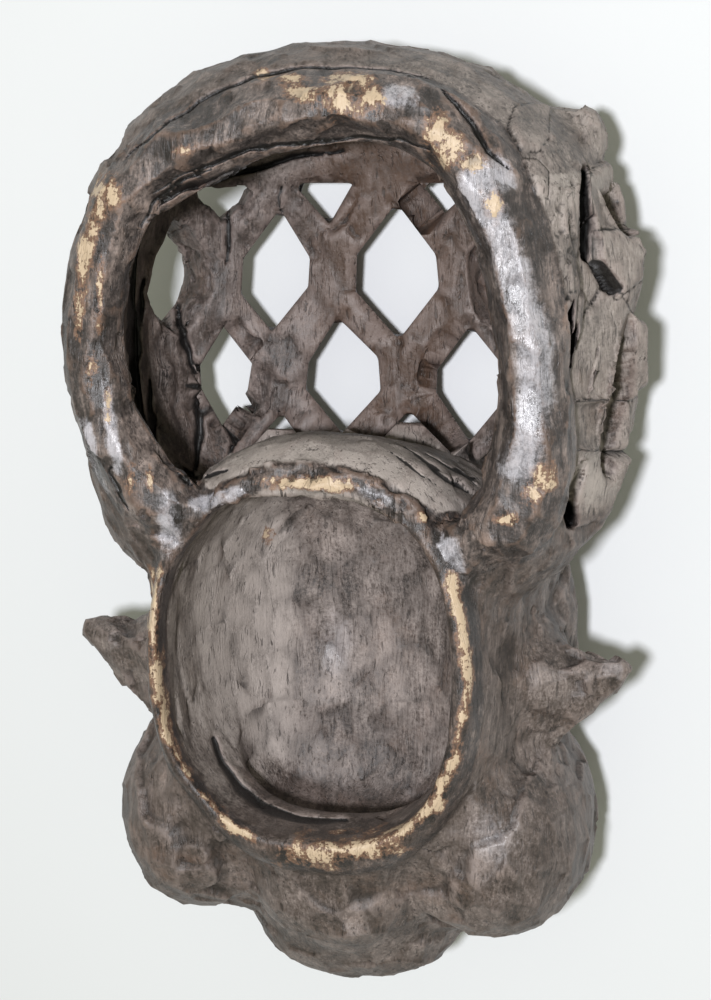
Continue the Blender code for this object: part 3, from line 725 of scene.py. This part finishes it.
def cut_blocks(skin):
    """The flat blocks and deep gaps on the right side of the headdress, and the undercut behind the arch's
    left side. Returns where the gaps, undercut and seams are painted near black as shade.
    """
    parts = regions_of(skin)
    spots = seen(skin.places)
    toward = skin.normals @ camera_back()
    x, y, _ = skin.places.T
    open_side = (toward > -0.05) & skin.shown & (x > 0.095) & (y > 0.02) & (parts["arch"] < 0.6)
    seam = np.zeros(len(spots))
    slabs = np.zeros(len(spots))
    for corners, proud in BLOCKS_SEEN:
        depth = np.where(open_side, within(spots, corners), -99)
        share = soft_step(-0.8, 1.6, depth)
        core = depth > 1.5
        if core.sum() < 20:
            continue
        facing = skin.normals[core].mean(axis=0)
        facing /= np.linalg.norm(facing)
        middle = skin.places[core].mean(axis=0)
        share *= soft_step(0.05, 0.30, skin.normals @ facing)
        height = np.clip((middle - skin.places) @ facing, -0.012, 0.012)
        skin.places += facing * ((height * 0.93 + proud) * share)[:, None]
        slabs = np.maximum(slabs, np.where(depth > 0, 1.0, 0.0))
        seam = np.maximum(seam, soft_step(1.7, 0.3, np.abs(depth + 0.6)))
    skin.write()
    skin.smooth(slabs, 4)
    skin.places -= camera_back() * (0.0020 * seam)[:, None]
    skin.write()
    gaps = np.zeros(len(spots))
    x, _, z = skin.places.T
    undercut = skin.shown & (z < 0.190) & (z > 0.06) & (x < -0.05)
    undercut = soft_step(-2.0, 2.0, np.where(undercut, within(spots, UNDERCUT_SEEN), -99))
    skin.places -= camera_back() * (0.008 * undercut)[:, None]
    gaps = np.maximum(gaps, undercut)
    for corners, depth in GAPS_SEEN:
        share = soft_step(-1.2, 1.0, np.where(open_side, within(spots, corners), -99))
        skin.places -= camera_back() * (depth * share)[:, None]
        gaps = np.maximum(gaps, share)
    skin.write()
    return np.maximum(gaps, 0.6 * seam)


def cut_facets(skin, carving):
    """Chisel and adze marks, each region in its own size."""
    parts = regions_of(skin)
    size = carving.facet_size
    flat = carving.facet_flatness
    edge = np.zeros(len(skin.places))
    shade = np.zeros(len(skin.places))
    plan = (
        ("arch", 1.15, 0.90, (1, 1.2, 1), 0.075, 0.0003),
        ("openwork", 0.85, 0.95, (1, 1.6, 1), 0.10, 0.0003),
        ("inner", 0.62, 0.90, (1.3, 1.3, 0.6), 0.20, 0.0011),
        ("band", 0.95, 0.90, (1, 1, 1.2), 0.09, 0.0004),
        ("cheeks", 1.35, 0.95, (1, 1.2, 1), 0.05, 0.0003),
        ("side", 1.00, 0.85, (1, 2.4, 1), 0.09, 0.0003),
        ("chin", 1.20, 0.90, (1.5, 1, 1), 0.08, 0.0003),
        ("ears", 1.00, 0.95, (1.6, 1, 1), 0.10, 0.0003),
        ("bowl", 0.90, 0.60, (1, 1.6, 1), 0.035, 0.0001),
        ("crown", 1.20, 0.55, (1.6, 1, 1), 0.035, 0.0001),
        ("face", 0.85, 0.80, (1, 1, 1), 0.07, 0.0002),
        ("wall", 1.30, 0.80, (1, 1.4, 1), 0.03, 0.0002),
    )
    for number, (part, scale, flatness, stretch, tilt, lift) in enumerate(plan):
        most = 0.006 if part in ("arch", "cheeks", "chin", "ears") else 0.004
        marks = facet(skin, parts[part], size * scale, flat * flatness, number, stretch, tilt, lift, most)
        edge = np.maximum(edge, marks[0])
        shade = np.maximum(shade, marks[1])
    scarred = ("cheeks", "chin", "side", "ears", "band", "arch", "openwork")
    small = np.clip(sum(parts[name] for name in scarred), 0, 1)
    facet(skin, small, carving.scale_size, 0.40 * flat, 30, (1, 2.0, 1), 0.04, 0.00008)
    spots = seen(skin.places)
    shown = skin.shown & (skin.places[:, 0] > 0.09)
    scaly = soft_step(-3, 3, np.where(shown, within(spots, SCALES_SEEN), -99)) * (1 - parts["arch"])
    scales, scale_shade = facet(skin, scaly, carving.scale_size, 0.9, 40, (1, 3.0, 1.2), 0.15, 0.0006)
    skin.push(-0.0006 * soft_step(0.2, 1.0, scales))
    return edge, scales, np.where(scaly > 0.3, scale_shade, shade)


def weather(skin, carving):
    """Undulations, drying cracks, ragged ledges inside the headdress and chipped edges. Returns where the
    cracks are painted near black as shade.
    """
    parts = regions_of(skin)
    places = skin.places
    z = places[:, 2]
    swell = rough(places, 0.035, 3, 3) * carving.undulation
    swell *= 1 - 0.6 * np.maximum(parts["bowl"], parts["crown"])
    level = z + 0.008 * rough(places, (0.03, 0.03, 0.02), 5)
    ledge = parts["inner"] * (0.5 + 0.5 * np.sin(level * 2 * math.pi / LEDGE_SPACING))
    swell += LEDGE_HEIGHT * (ledge - 0.5 * parts["inner"])
    skin.push(swell)
    painted_crack_shade = np.zeros(len(places))
    shift = 2.2 * np.stack([lumps(skin.places, 0.010, seed) for seed in (11, 12)], axis=1)
    for line, (low, high), half_width, depth in CRACKS_SEEN:
        height = skin.places[:, 2]
        shown = skin.shown & (height > low) & (height < high)
        gap, along, _ = from_line(seen(skin.places) + shift, line)
        width = half_width * PIXELS_A_METRE * (0.35 + 0.65 * np.sin(np.clip(along, 0.03, 0.97) * math.pi))
        share = np.where(shown, np.clip(1.25 - gap / width, 0, 1), 0) ** 0.7
        painted_crack_shade = np.maximum(painted_crack_shade, share)
        skin.places -= camera_back() * (min(depth, DEEPEST_CRACK) * share)[:, None]
        skin.write()
    chips = soft_step(0.25, 0.75, rough(skin.places, 0.011, 21, 2))
    chips = chips * soft_step(0.0002, 0.0012, -skin.hollowness(4))
    edges = np.clip(parts["rim"] + parts["arch"] * 0.7 + parts["wall"] * 0.15 + parts["band"], 0, 1)
    skin.push(-carving.chip_depth * chips * edges)
    return painted_crack_shade


def thin_hidden_side(piece):
    """Leaves fewer faces on the face side, which the photograph's camera doesn't see."""
    mesh = piece.data
    normals = np.empty(len(mesh.polygons) * 3, np.float32)
    mesh.polygons.foreach_get("normal", normals)
    hidden = normals.reshape(-1, 3) @ camera_back() < -0.25
    bpy.ops.object.mode_set(mode="EDIT")
    bpy.ops.mesh.select_mode(type="FACE")
    bpy.ops.mesh.select_all(action="DESELECT")
    bpy.ops.object.mode_set(mode="OBJECT")
    mesh.polygons.foreach_set("select", hidden)
    bpy.ops.object.mode_set(mode="EDIT")
    bpy.ops.mesh.decimate(ratio=0.22)
    bpy.ops.mesh.select_all(action="DESELECT")
    bpy.ops.object.mode_set(mode="OBJECT")


def spot_gap(spots, middle_x, middle_y, half_width, half_height):
    """How far spots of the picture are from a middle, in half widths and half heights."""
    return np.hypot((spots[:, 0] - middle_x) / half_width, (spots[:, 1] - middle_y) / half_height)


def dust_on(skin, parts):
    """How much dust lies on each point, and where the wood is made lighter towards the right and on the
    bowl's left inner wall.
    """
    x, y, z = skin.places.T
    # The band, cheeks and outer wall are made lighter towards the right side.
    right = soft_step(-0.02, 0.10, x)
    dust = 1.05 * np.maximum(parts["crown"], parts["dusty_top"]) + 0.34 * parts["bowl"]
    dust = dust + (0.20 + 0.28 * right) * parts["band"]
    dust = dust + 0.16 * parts["openwork"] * soft_step(0.03, 0.08, np.abs(x))
    cheeks = (0.02 + 0.12 * right) * parts["cheeks"]
    dust += cheeks + 0.15 * parts["chin"] + 0.10 * parts["side"] + 0.22 * parts["ears"]
    wall = 0.52 * parts["wall"] * right * soft_step(0.02, 0.06, y)
    dust += wall + 0.15 * parts["inner"] + 0.25 * parts["wall"] * (1 - right)
    # The bowl's left inner wall, which faces right, and the low right outer wall are made lighter.
    inner_wall = soft_step(0.2, 0.6, skin.normals[:, 0]) * soft_step(-0.04, -0.08, x)
    inner_wall = inner_wall * soft_step(-0.125, -0.115, x) * (z > 0.08)
    low_wall = 0.5 * parts["wall"] * right * soft_step(0.08, 0.04, y)
    dust += 0.55 * inner_wall * (y < 0.02) * (y > -0.19) * (1 - parts["rim"]) + low_wall
    return np.clip(dust, 0, 1.2) * (0.5 + 0.5 * soft_step(-0.2, 0.5, skin.normals[:, 2]))


def wear_down(skin):
    """Stores where the wood is polished (with a painted highlight), bare, dusty or hollow (hollows get
    painted shade).
    """
    parts = regions_of(skin)
    x, _, z = skin.places.T
    spots = seen(skin.places)
    toward = skin.normals @ camera_back()
    bare = np.zeros(len(x))
    for spot in SPOTS_SEEN:
        bare = np.maximum(bare, np.clip(1.15 - 0.62 * spot_gap(spots, *spot), 0, 1) * (z > 0.19))
    scuff = np.clip(1.1 - 0.6 * np.hypot(spots[:, 0] - 268, spots[:, 1] - 539) / 7, 0, 1)
    bare = np.maximum(bare, scuff * (z > 0.10))
    broken = 0.80 + 0.45 * lumps(skin.places, 0.011, 5)
    for line, half_width in RIM_WEAR_SEEN:
        gap, _, _ = from_line(spots, line)
        bare = np.maximum(bare, np.clip(1.15 * broken - 0.62 * gap / half_width, 0, 1) * (z > 0.19))
    bare *= soft_step(-0.35, 0.05, toward)

    # Gloss along the arch and rim and on spots that face the camera: it lowers the roughness and carries a
    # pale painted highlight.
    polish = np.zeros(len(x))
    for line, half_width in GLOSS_AND_HIGHLIGHT_SEEN:
        gap, _, _ = from_line(spots, line)
        polish = np.maximum(polish, np.clip(1.25 - 0.6 * gap / half_width, 0, 1))
    edged = (z > 0.185) * np.maximum(parts["arch"], parts["rim"])
    polish *= edged * soft_step(-0.3, 0.3, skin.normals[:, 2])
    visible = soft_step(0.1, 0.4, toward)
    for *spot, strength in SHINE_AND_HIGHLIGHT_SEEN:
        polish = np.maximum(polish, strength * np.clip(1.4 - spot_gap(spots, *spot), 0, 1) * visible)

    black = np.clip(parts["arch"] + 0.75 * parts["rim"], 0, 1) * (1 - 0.85 * parts["dusty_top"])
    skin.store("bare", bare)
    skin.store("polish", polish)
    skin.store("black", black)
    skin.store("dust", dust_on(skin, parts) * (1 - 0.8 * black))
    # Hollows are darkened with painted shade; edges, the opposite, get rubbed wear.
    skin.store("hollow", 0.5 + skin.blurred(skin.hollowness(4), 1) * 700)
    skin.store("brown", parts["openwork"] * soft_step(0.08, 0.03, np.abs(x - 0.005)))
    layers = parts["inner"] + 0.8 * parts["crown"] * soft_step(0.06, 0.09, x)
    skin.store("layers", np.clip(layers, 0, 1))


class Number:
    """A number in a material. Sums written with it add Math nodes."""

    def __init__(self, bench, socket):
        self.bench = bench
        self.socket = socket

    def sum(self, operation, first, second):
        node = self.bench.add("ShaderNodeMath", {"operation": operation}, {0: first, 1: second})
        return Number(self.bench, node.outputs[0])

    def __add__(self, other):
        return self.sum("ADD", self, other)

    def __radd__(self, other):
        return self.sum("ADD", other, self)

    def __sub__(self, other):
        return self.sum("SUBTRACT", self, other)

    def __rsub__(self, other):
        return self.sum("SUBTRACT", other, self)

    def __mul__(self, other):
        return self.sum("MULTIPLY", self, other)

    def __rmul__(self, other):
        return self.sum("MULTIPLY", other, self)


class Bench:
    """One material, and the ways in which its nodes are added."""

    def __init__(self, name):
        self.material = bpy.data.materials.new(name)
        self.material.use_nodes = True
        self.tree = self.material.node_tree
        self.tree.nodes.clear()

    def add(self, kind, settings=(), sockets=()):
        """Adds a node of this kind: its settings first, then the values or links of its sockets."""
        node = self.tree.nodes.new(kind)
        for name, value in dict(settings).items():
            if name == "stops":
                self.set_stops(node.color_ramp.elements, value)
            else:
                setattr(node, name, value)
        for name, value in dict(sockets).items():
            value = value.socket if isinstance(value, Number) else value
            if isinstance(value, bpy.types.NodeSocket):
                self.tree.links.new(value, node.inputs[name])
            else:
                node.inputs[name].default_value = value
        return node

    @staticmethod
    def set_stops(elements, stops):
        while len(elements) < len(stops):
            elements.new(0.5)
        for element, (position, value) in zip(elements, stops):
            element.position = position
            element.color = value

    def attribute(self, name):
        return Number(self, self.add("ShaderNodeAttribute", {"attribute_name": name}).outputs["Fac"])

    def vector(self, operation, sockets):
        return self.add("ShaderNodeVectorMath", {"operation": operation}, sockets).outputs[0]

    def ramp(self, share, stops):
        """A colour from a ramp."""
        return self.add("ShaderNodeValToRGB", {"stops": stops}, {"Fac": share}).outputs["Color"]

    def noise(self, place, scale, detail=3.0, roughness=0.55, stretch=(1, 1, 1)):
        """Noise of this scale, from 0 to 1, drawn out along an axis where stretch is above 1."""
        drawn = self.vector("DIVIDE", {0: place, 1: stretch})
        node = self.add(
            "ShaderNodeTexNoise",
            {},
            {"Vector": drawn, "Scale": scale, "Detail": detail, "Roughness": roughness},
        )
        return Number(self, node.outputs["Fac"])

    def step(self, value, low, high):
        """0 at low and 1 at high."""
        node = self.add(
            "ShaderNodeMapRange",
            {"interpolation_type": "SMOOTHSTEP"},
            {"Value": value, "From Min": low, "From Max": high, "To Min": 0.0, "To Max": 1.0},
        )
        return Number(self, node.outputs["Result"])

    def mix(self, share, first, second, way="MIX"):
        """A colour between two, by a share from 0 to 1."""
        node = self.add(
            "ShaderNodeMix",
            {"data_type": "RGBA", "blend_type": way, "clamp_factor": True},
            {0: share, 6: first, 7: second},
        )
        return node.outputs[2]

    def finish(self, surface):
        self.add("ShaderNodeOutputMaterial", {}, {"Surface": surface})
        return self.material


def times(colour, factor):
    """A colour made lighter or darker, with its alpha."""
    return (*(factor * part for part in colour), 1)


def dusty_wood(finish):
    """Old dark wood: dusty and matt, polished black on the arch and rim, worn through to pale raw wood.
    Painted light: a pale highlight on the gloss, shade darkening the hollows, and near-black shade in the
    cracks, gaps and scale cuts.
    """
    bench = Bench("dusty_wood")
    place = bench.add("ShaderNodeTexCoord").outputs["Object"]
    polish, black, bare, dust, hollow, brown_wood = map(
        bench.attribute, ("polish", "black", "bare", "dust", "hollow", "brown")
    )
    crack, scales, layers, shade, cut = map(
        bench.attribute, ("crack", "scales", "layers", "shade", "cut")
    )

    drift = bench.add("ShaderNodeTexNoise", {}, {"Vector": place, "Scale": 28.0, "Detail": 2.0})
    drift = bench.vector("SUBTRACT", {0: drift.outputs["Color"], 1: (0.5, 0.5, 0.5)})
    drift = bench.vector("SCALE", {0: drift, "Scale": 0.010})
    wavy = bench.vector("ADD", {0: place, 1: drift})

    cloud = bench.noise(place, 20.0, 4.0, 0.6)
    mottle = bench.noise(place, 90.0, 5.0, 0.7)
    grit = bench.noise(place, 420.0, 4.0, 0.75)
    streak = bench.noise(wavy, 120.0, 6.0, 0.75, (1, 4.5, 1))
    fibre = bench.noise(wavy, 520.0, 4.0, 0.7, (1, 8, 1))
    pores = bench.step(bench.noise(wavy, 420.0, 3.0, 0.6, (1, 7, 1)), 0.58, 0.68)
    split = bench.noise(wavy, 120.0, 3.0, 0.55, (1, 14, 1)) - 0.5
    split = bench.step(split * split, 0.00035, 0.00002)
    patchy = bench.step(bench.noise(place, 45.0, 2.0, 0.5), 0.45, 0.62)

    tone = cloud * 0.30 + mottle * 0.40 + streak * 1.10 + fibre * 0.40 + grit * 0.70 + shade * 0.26 - 1.085
    stops = (
        (0.20, times(finish.wood_dark, 0.45)),
        (0.42, times(finish.wood_dark, 1.25)),
        (0.64, times(finish.wood_light, 0.85)),
        (0.90, times(finish.wood_light, 1.5)),
    )
    wood = bench.ramp(tone, stops)
    rust = bench.step(cloud * 0.5 + mottle * 0.3 + fibre * 0.2, 0.50, 0.66)
    wood = bench.mix(rust * 0.40, wood, times(finish.rust, 0.8))

    settled = (mottle - 0.5) * 0.35 + (streak - 0.5) * 0.5 + (fibre - 0.5) * 0.6
    settled = settled + (grit - 0.5) * 0.8 + (shade - 0.5) * 0.12
    film = bench.step(dust * 1.2 + settled, 0.15, 1.0)
    powder = bench.mix(mottle, times(finish.dust, 0.72), times(finish.dust, 1.15))
    wood = bench.mix(film * 0.9, wood, powder)
    wood = bench.mix(brown_wood * 0.65, wood, times(finish.rust, 0.5))

    tone = cloud * 0.25 + streak * 0.75 + mottle * 0.45 + fibre * 0.30 + grit * 0.30 + shade * 0.16 - 0.56
    stops = (
        (0.38, times(finish.polish, 0.30)),
        (0.52, times(finish.polish, 1)),
        (0.62, times(finish.wood_light, 0.8)),
        (0.76, times(finish.wood_light, 1.7)),
    )
    coat = bench.ramp(tone, stops)
    coated = bench.step(black + (mottle - 0.5) * 0.9 + (streak - 0.5) * 0.7, 0.25, 0.62)
    coated = coated * bench.step(black, 0.0, 0.3)
    wood = bench.mix(coated * 0.9, wood, coat)

    edge_worn = bench.step(0.5 - hollow + (grit - 0.5) * 0.30 + (mottle - 0.5) * 0.3, 0.08, 0.42)
    rubbed = bench.mix(coated * 0.7, times(finish.wood_light, 1.5), times(finish.rust, 1.15))
    wood = bench.mix(edge_worn * 0.42, wood, rubbed)
    wood = bench.mix(cut * bench.step(grit + streak, 0.85, 1.1) * 0.45, wood, times(finish.wood_dark, 0.5))

    worn = bare + (mottle - 0.5) * 2.2 + (grit - 0.5) * 1.0 + (streak - 0.5) * 2.0
    brown = bench.step(worn, 0.25, 0.60) * bench.step(bare, 0.02, 0.25)
    raw = bench.step(worn, 0.66, 0.76) * bench.step(bare, 0.05, 0.25)
    wood = bench.mix(brown * 0.8, wood, times(finish.rust, 1.1))
    pale = bench.mix(streak * 0.6 + fibre * 0.4, times(finish.bare, 0.62), times(finish.bare, 1.15))
    wood = bench.mix(raw, wood, pale)

    lines = pores * 0.62 + split * patchy * (0.25 + layers * 0.75)
    lines = bench.step(lines * (1 - raw * 0.6), 0.05, 1.0)
    wood = bench.mix(lines * 0.85, wood, times(finish.wood_dark, 0.22))
    # Painted shade: hollows are darkened towards dark wood.
    dark = bench.step(hollow, 0.58, 1.0) * 0.6
    wood = bench.mix(dark, wood, times(finish.wood_dark, 0.25))
    # Painted shade: cracks, gaps, the undercut, seams and the edges of the scale cuts are painted near black.
    gap = bench.step(crack + bench.step(scales, 0.40, 1.0) * 0.5, 0.15, 0.70)
    wood = bench.mix(gap * 0.95, wood, (0.005, 0.004, 0.0035, 1))

    # Gloss lowers the roughness; where it is strongest a pale grey-blue painted highlight is mixed into the
    # colour.
    gloss_and_highlight = bench.step(polish + (mottle - 0.5) * 0.9 + (grit - 0.5) * 0.7 + (shade - 0.5) * 0.5, 0.25, 0.85)
    gloss_and_highlight = gloss_and_highlight * bench.step(polish, 0.0, 0.3)
    gloss_and_highlight = gloss_and_highlight * (1 - raw) * (1 - gap)
    painted_highlight = gloss_and_highlight * (0.16 + coated * 0.50) * bench.step(streak * 0.8 + grit * 0.5 + shade * 0.3, 0.55, 1.0)
    wood = bench.mix(painted_highlight, wood, (0.60, 0.585, 0.63, 1))
    roughness = 0.50 - coated * 0.08 - gloss_and_highlight * (0.46 - finish.polish_roughness)
    roughness = roughness + (grit - 0.5) * 0.5 + film * 0.25
    relief = (
        fibre * 0.50
        + streak * 0.45
        + mottle * 0.35
        + grit * 0.35 * (1 - gloss_and_highlight * 0.5)
        - pores * 0.35
        - split * patchy * (0.4 + layers)
        - raw * 0.25
    )
    bump = bench.add(
        "ShaderNodeBump",
        {},
        {"Strength": 1.0, "Distance": finish.relief, "Height": relief},
    ).outputs["Normal"]
    surface = bench.add(
        "ShaderNodeBsdfPrincipled",
        {},
        {"Base Color": wood, "Roughness": roughness, "Normal": bump, "Specular IOR Level": 0.6},
    ).outputs["BSDF"]
    return bench.finish(surface)


def pale_floor(stage):
    """A matt, nearly even pale floor."""
    bench = Bench("pale_floor")
    place = bench.add("ShaderNodeTexCoord").outputs["Object"]
    cloud = bench.noise(place, 3.0, 2.0, 0.5)
    colour = bench.mix(cloud, times(stage.floor_colour, 0.97), times(stage.floor_colour, 1))
    surface = bench.add(
        "ShaderNodeBsdfPrincipled",
        {},
        {"Base Color": colour, "Roughness": 0.75, "Specular IOR Level": 0.2},
    ).outputs["BSDF"]
    return bench.finish(surface)


class MaskCarving(bpy.types.PropertyGroup):
    """How the surface of the block is worked."""

    grid: bpy.props.FloatProperty(
        name="Grid",
        description="Spacing of the points that are carved",
        default=0.0021,
        min=0.0015,
        max=0.006,
        unit="LENGTH",
    )
    softening: bpy.props.IntProperty(
        name="Softening",
        description="How often the packed form is smoothed before it is carved",
        default=2,
        min=0,
        max=30,
    )
    facet_size: bpy.props.FloatProperty(
        name="Facet size",
        description="Width of a usual chisel facet",
        default=0.022,
        min=0.008,
        max=0.060,
        unit="LENGTH",
    )
    facet_flatness: bpy.props.FloatProperty(
        name="Facet flatness",
        description="How flat the facets are cut",
        default=1.0,
        min=0.0,
        max=1.2,
        subtype="FACTOR",
    )
    scale_size: bpy.props.FloatProperty(
        name="Scale size",
        description="Width of the small cuts on the outer walls of the headdress",
        default=0.0095,
        min=0.004,
        max=0.030,
        unit="LENGTH",
    )
    undulation: bpy.props.FloatProperty(
        name="Undulation",
        description="Height of the slow unevenness over the whole mask",
        default=0.0010,
        min=0.0,
        max=0.004,
        unit="LENGTH",
    )
    chip_depth: bpy.props.FloatProperty(
        name="Chip depth",
        description="Depth of the chips out of the edges",
        default=0.0016,
        min=0.0,
        max=0.005,
        unit="LENGTH",
    )
    triangles: bpy.props.IntProperty(
        name="Triangles",
        description="Most triangles in the finished piece",
        default=196000,
        min=20000,
        max=199000,
    )


class MaskFinish(bpy.types.PropertyGroup):
    """Colours of the wood."""

    wood_dark: bpy.props.FloatVectorProperty(
        name="Dark wood",
        description="Old stained wood",
        default=(0.072, 0.054, 0.046),
        size=3,
        subtype="COLOR",
    )
    wood_light: bpy.props.FloatVectorProperty(
        name="Light wood",
        description="Faded stained wood",
        default=(0.215, 0.170, 0.152),
        size=3,
        subtype="COLOR",
    )
    dust: bpy.props.FloatVectorProperty(
        name="Dust",
        description="Dust on faces that look up",
        default=(0.50, 0.435, 0.395),
        size=3,
        subtype="COLOR",
    )
    polish: bpy.props.FloatVectorProperty(
        name="Polish",
        description="Handled, blackened wood",
        default=(0.060, 0.048, 0.045),
        size=3,
        subtype="COLOR",
    )
    bare: bpy.props.FloatVectorProperty(
        name="Bare wood",
        description="Raw wood where the stain is worn off",
        default=(0.66, 0.50, 0.34),
        size=3,
        subtype="COLOR",
    )
    rust: bpy.props.FloatVectorProperty(
        name="Reddish brown",
        description="Half worn stain",
        default=(0.21, 0.115, 0.070),
        size=3,
        subtype="COLOR",
    )
    polish_roughness: bpy.props.FloatProperty(
        name="Polish roughness",
        description="Roughness of the handled wood",
        default=0.30,
        min=0.1,
        max=1.0,
        subtype="FACTOR",
    )
    relief: bpy.props.FloatProperty(
        name="Relief",
        description="Height of the grain",
        default=0.0009,
        min=0.0,
        max=0.004,
        unit="LENGTH",
    )


class StudioStage(bpy.types.PropertyGroup):
    """Floor, light and camera."""

    floor_colour: bpy.props.FloatVectorProperty(
        name="Floor",
        description="Colour of the floor",
        default=(0.80, 0.81, 0.82),
        size=3,
        subtype="COLOR",
    )
    key_power: bpy.props.FloatProperty(
        name="Key light",
        description="Power of the soft light beside the camera",
        default=56.0,
        min=0.0,
        unit="POWER",
    )
    key_width: bpy.props.FloatProperty(
        name="Key width",
        description="Width of the soft light",
        default=0.16,
        min=0.01,
        unit="LENGTH",
    )
    fill: bpy.props.FloatProperty(
        name="Fill",
        description="Strength of the even light from all round",
        default=0.34,
        min=0.0,
        max=2.0,
    )
    distance: bpy.props.FloatProperty(
        name="Camera distance",
        description="From the camera to the rim",
        default=1.5,
        min=0.3,
        unit="LENGTH",
    )
    lens: bpy.props.FloatProperty(
        name="Lens",
        description="Focal length of the camera",
        default=86.4,
        min=10.0,
        unit="CAMERA",
    )


class MASK_OT_carved_mask(bpy.types.Operator):
    """Carves, cracks and wears the mask over a copy of its packed form"""

    bl_idname = "helmet_mask.carved_mask"
    bl_label = "Carved mask"

    def execute(self, context):
        carving = context.scene.mask_carving
        piece = whole_copy("mask", "carved_mask")
        cut_openwork(piece)
        grid = carving.grid * 1.0
        finish_with(piece, "REMESH", mode="VOXEL", voxel_size=grid, adaptivity=0.0)
        finish_with(piece, "SMOOTH", factor=0.5, iterations=carving.softening)
        skin = Skin(piece)
        parts = regions_of(skin)
        even = np.clip(sum(parts[name] for name in EVENED_PARTS), 0, 1)
        skin.smooth(even, 14)
        skin.smooth(parts["wall"] * (skin.places[:, 0] > 0.1), 22)
        round_crown(skin)
        shape_arch(skin)
        skin.look()
        edge, scales, shade = cut_facets(skin, carving)
        bevel_holes(skin)
        blocks = cut_blocks(skin)
        painted_crack_shade = np.maximum(weather(skin, carving), blocks)
        straighten_holes(skin)
        skin.places[:, 2] = np.maximum(skin.places[:, 2], 0)
        skin.write()
        # Cracks, gaps, undercut and seams: where near-black painted shade goes.
        skin.store("crack", painted_crack_shade)
        skin.store("scales", scales)
        skin.store("shade", shade)
        skin.store("cut", edge)
        thin_hidden_side(piece)
        triangles = sum(len(face.vertices) - 2 for face in piece.data.polygons)
        if triangles > carving.triangles:
            finish_with(piece, "DECIMATE", ratio=carving.triangles / triangles)
        if len(piece.data.polygons) > MOST_TRIANGLES:
            raise RuntimeError("the carved mask has too many triangles")
        wear_down(Skin(piece))
        piece.data.shade_smooth()
        piece.data.materials.append(dusty_wood(context.scene.mask_finish))
        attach(piece, "root")
        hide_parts("mask")
        return {"FINISHED"}


class MASK_OT_studio_stage(bpy.types.Operator):
    """Sets up the pale floor, the soft light and the camera"""

    bl_idname = "helmet_mask.studio_stage"
    bl_label = "Studio stage"

    def execute(self, context):
        stage = context.scene.studio_stage
        bpy.ops.object.select_all(action="DESELECT")
        bpy.ops.mesh.primitive_plane_add(size=FLOOR_WIDTH, location=(0, 0, 0))
        floor = context.active_object
        floor.name = "pale_floor"
        floor.data.materials.append(pale_floor(stage))

        right, up, back = view_axes()
        bpy.ops.object.camera_add(location=VIEW_TARGET + back * stage.distance)
        camera = context.active_object
        camera.name = "photo_camera"
        camera.rotation_euler = Matrix((right, up, back)).transposed().to_euler()
        camera.data.sensor_width = SENSOR * 1000
        camera.data.sensor_fit = "AUTO"
        camera.data.lens = stage.lens
        camera.data.clip_start = 0.05
        context.scene.camera = camera

        bpy.ops.object.light_add(type="AREA", location=VIEW_TARGET + KEY_WAY * KEY_DISTANCE)
        key = context.active_object
        key.name = "soft_key"
        key.data.shape = "DISK"
        key.data.size = stage.key_width
        key.data.energy = stage.key_power
        key.data.color = KEY_COLOUR
        key.rotation_euler = KEY_WAY.to_track_quat("Z", "Y").to_euler()

        world = bpy.data.worlds.new("even_fill")
        world.use_nodes = True
        background = world.node_tree.nodes["Background"]
        background.inputs["Color"].default_value = FILL_COLOUR
        background.inputs["Strength"].default_value = stage.fill
        context.scene.world = world
        context.scene.view_settings.view_transform = "Standard"
        context.scene.view_settings.look = "None"
        return {"FINISHED"}


class MASK_PT_panel(bpy.types.Panel):
    """Helmet mask and its studio"""

    bl_idname = "MASK_PT_panel"
    bl_label = "Helmet Mask"
    bl_space_type = "VIEW_3D"
    bl_region_type = "UI"
    bl_category = "Helmet Mask"

    def draw(self, context):
        scene = context.scene
        groups = (scene.mask_carving, scene.mask_finish, scene.studio_stage)
        for group in groups:
            column = self.layout.column(align=True)
            for name in group.__annotations__:
                column.prop(group, name)
        self.layout.operator(MASK_OT_carved_mask.bl_idname)
        self.layout.operator(MASK_OT_studio_stage.bl_idname)


CLASSES = (
    MaskCarving,
    MaskFinish,
    StudioStage,
    MASK_OT_carved_mask,
    MASK_OT_studio_stage,
    MASK_PT_panel,
)


def register():
    for made in CLASSES:
        bpy.utils.register_class(made)
    bpy.types.Scene.mask_carving = bpy.props.PointerProperty(type=MaskCarving)
    bpy.types.Scene.mask_finish = bpy.props.PointerProperty(type=MaskFinish)
    bpy.types.Scene.studio_stage = bpy.props.PointerProperty(type=StudioStage)


def unregister():
    del bpy.types.Scene.studio_stage
    del bpy.types.Scene.mask_finish
    del bpy.types.Scene.mask_carving
    for made in reversed(CLASSES):
        bpy.utils.unregister_class(made)


def main():
    register()
    bpy.ops.helmet_mask.carved_mask()
    bpy.ops.helmet_mask.studio_stage()


if __name__ == "__main__":
    main()
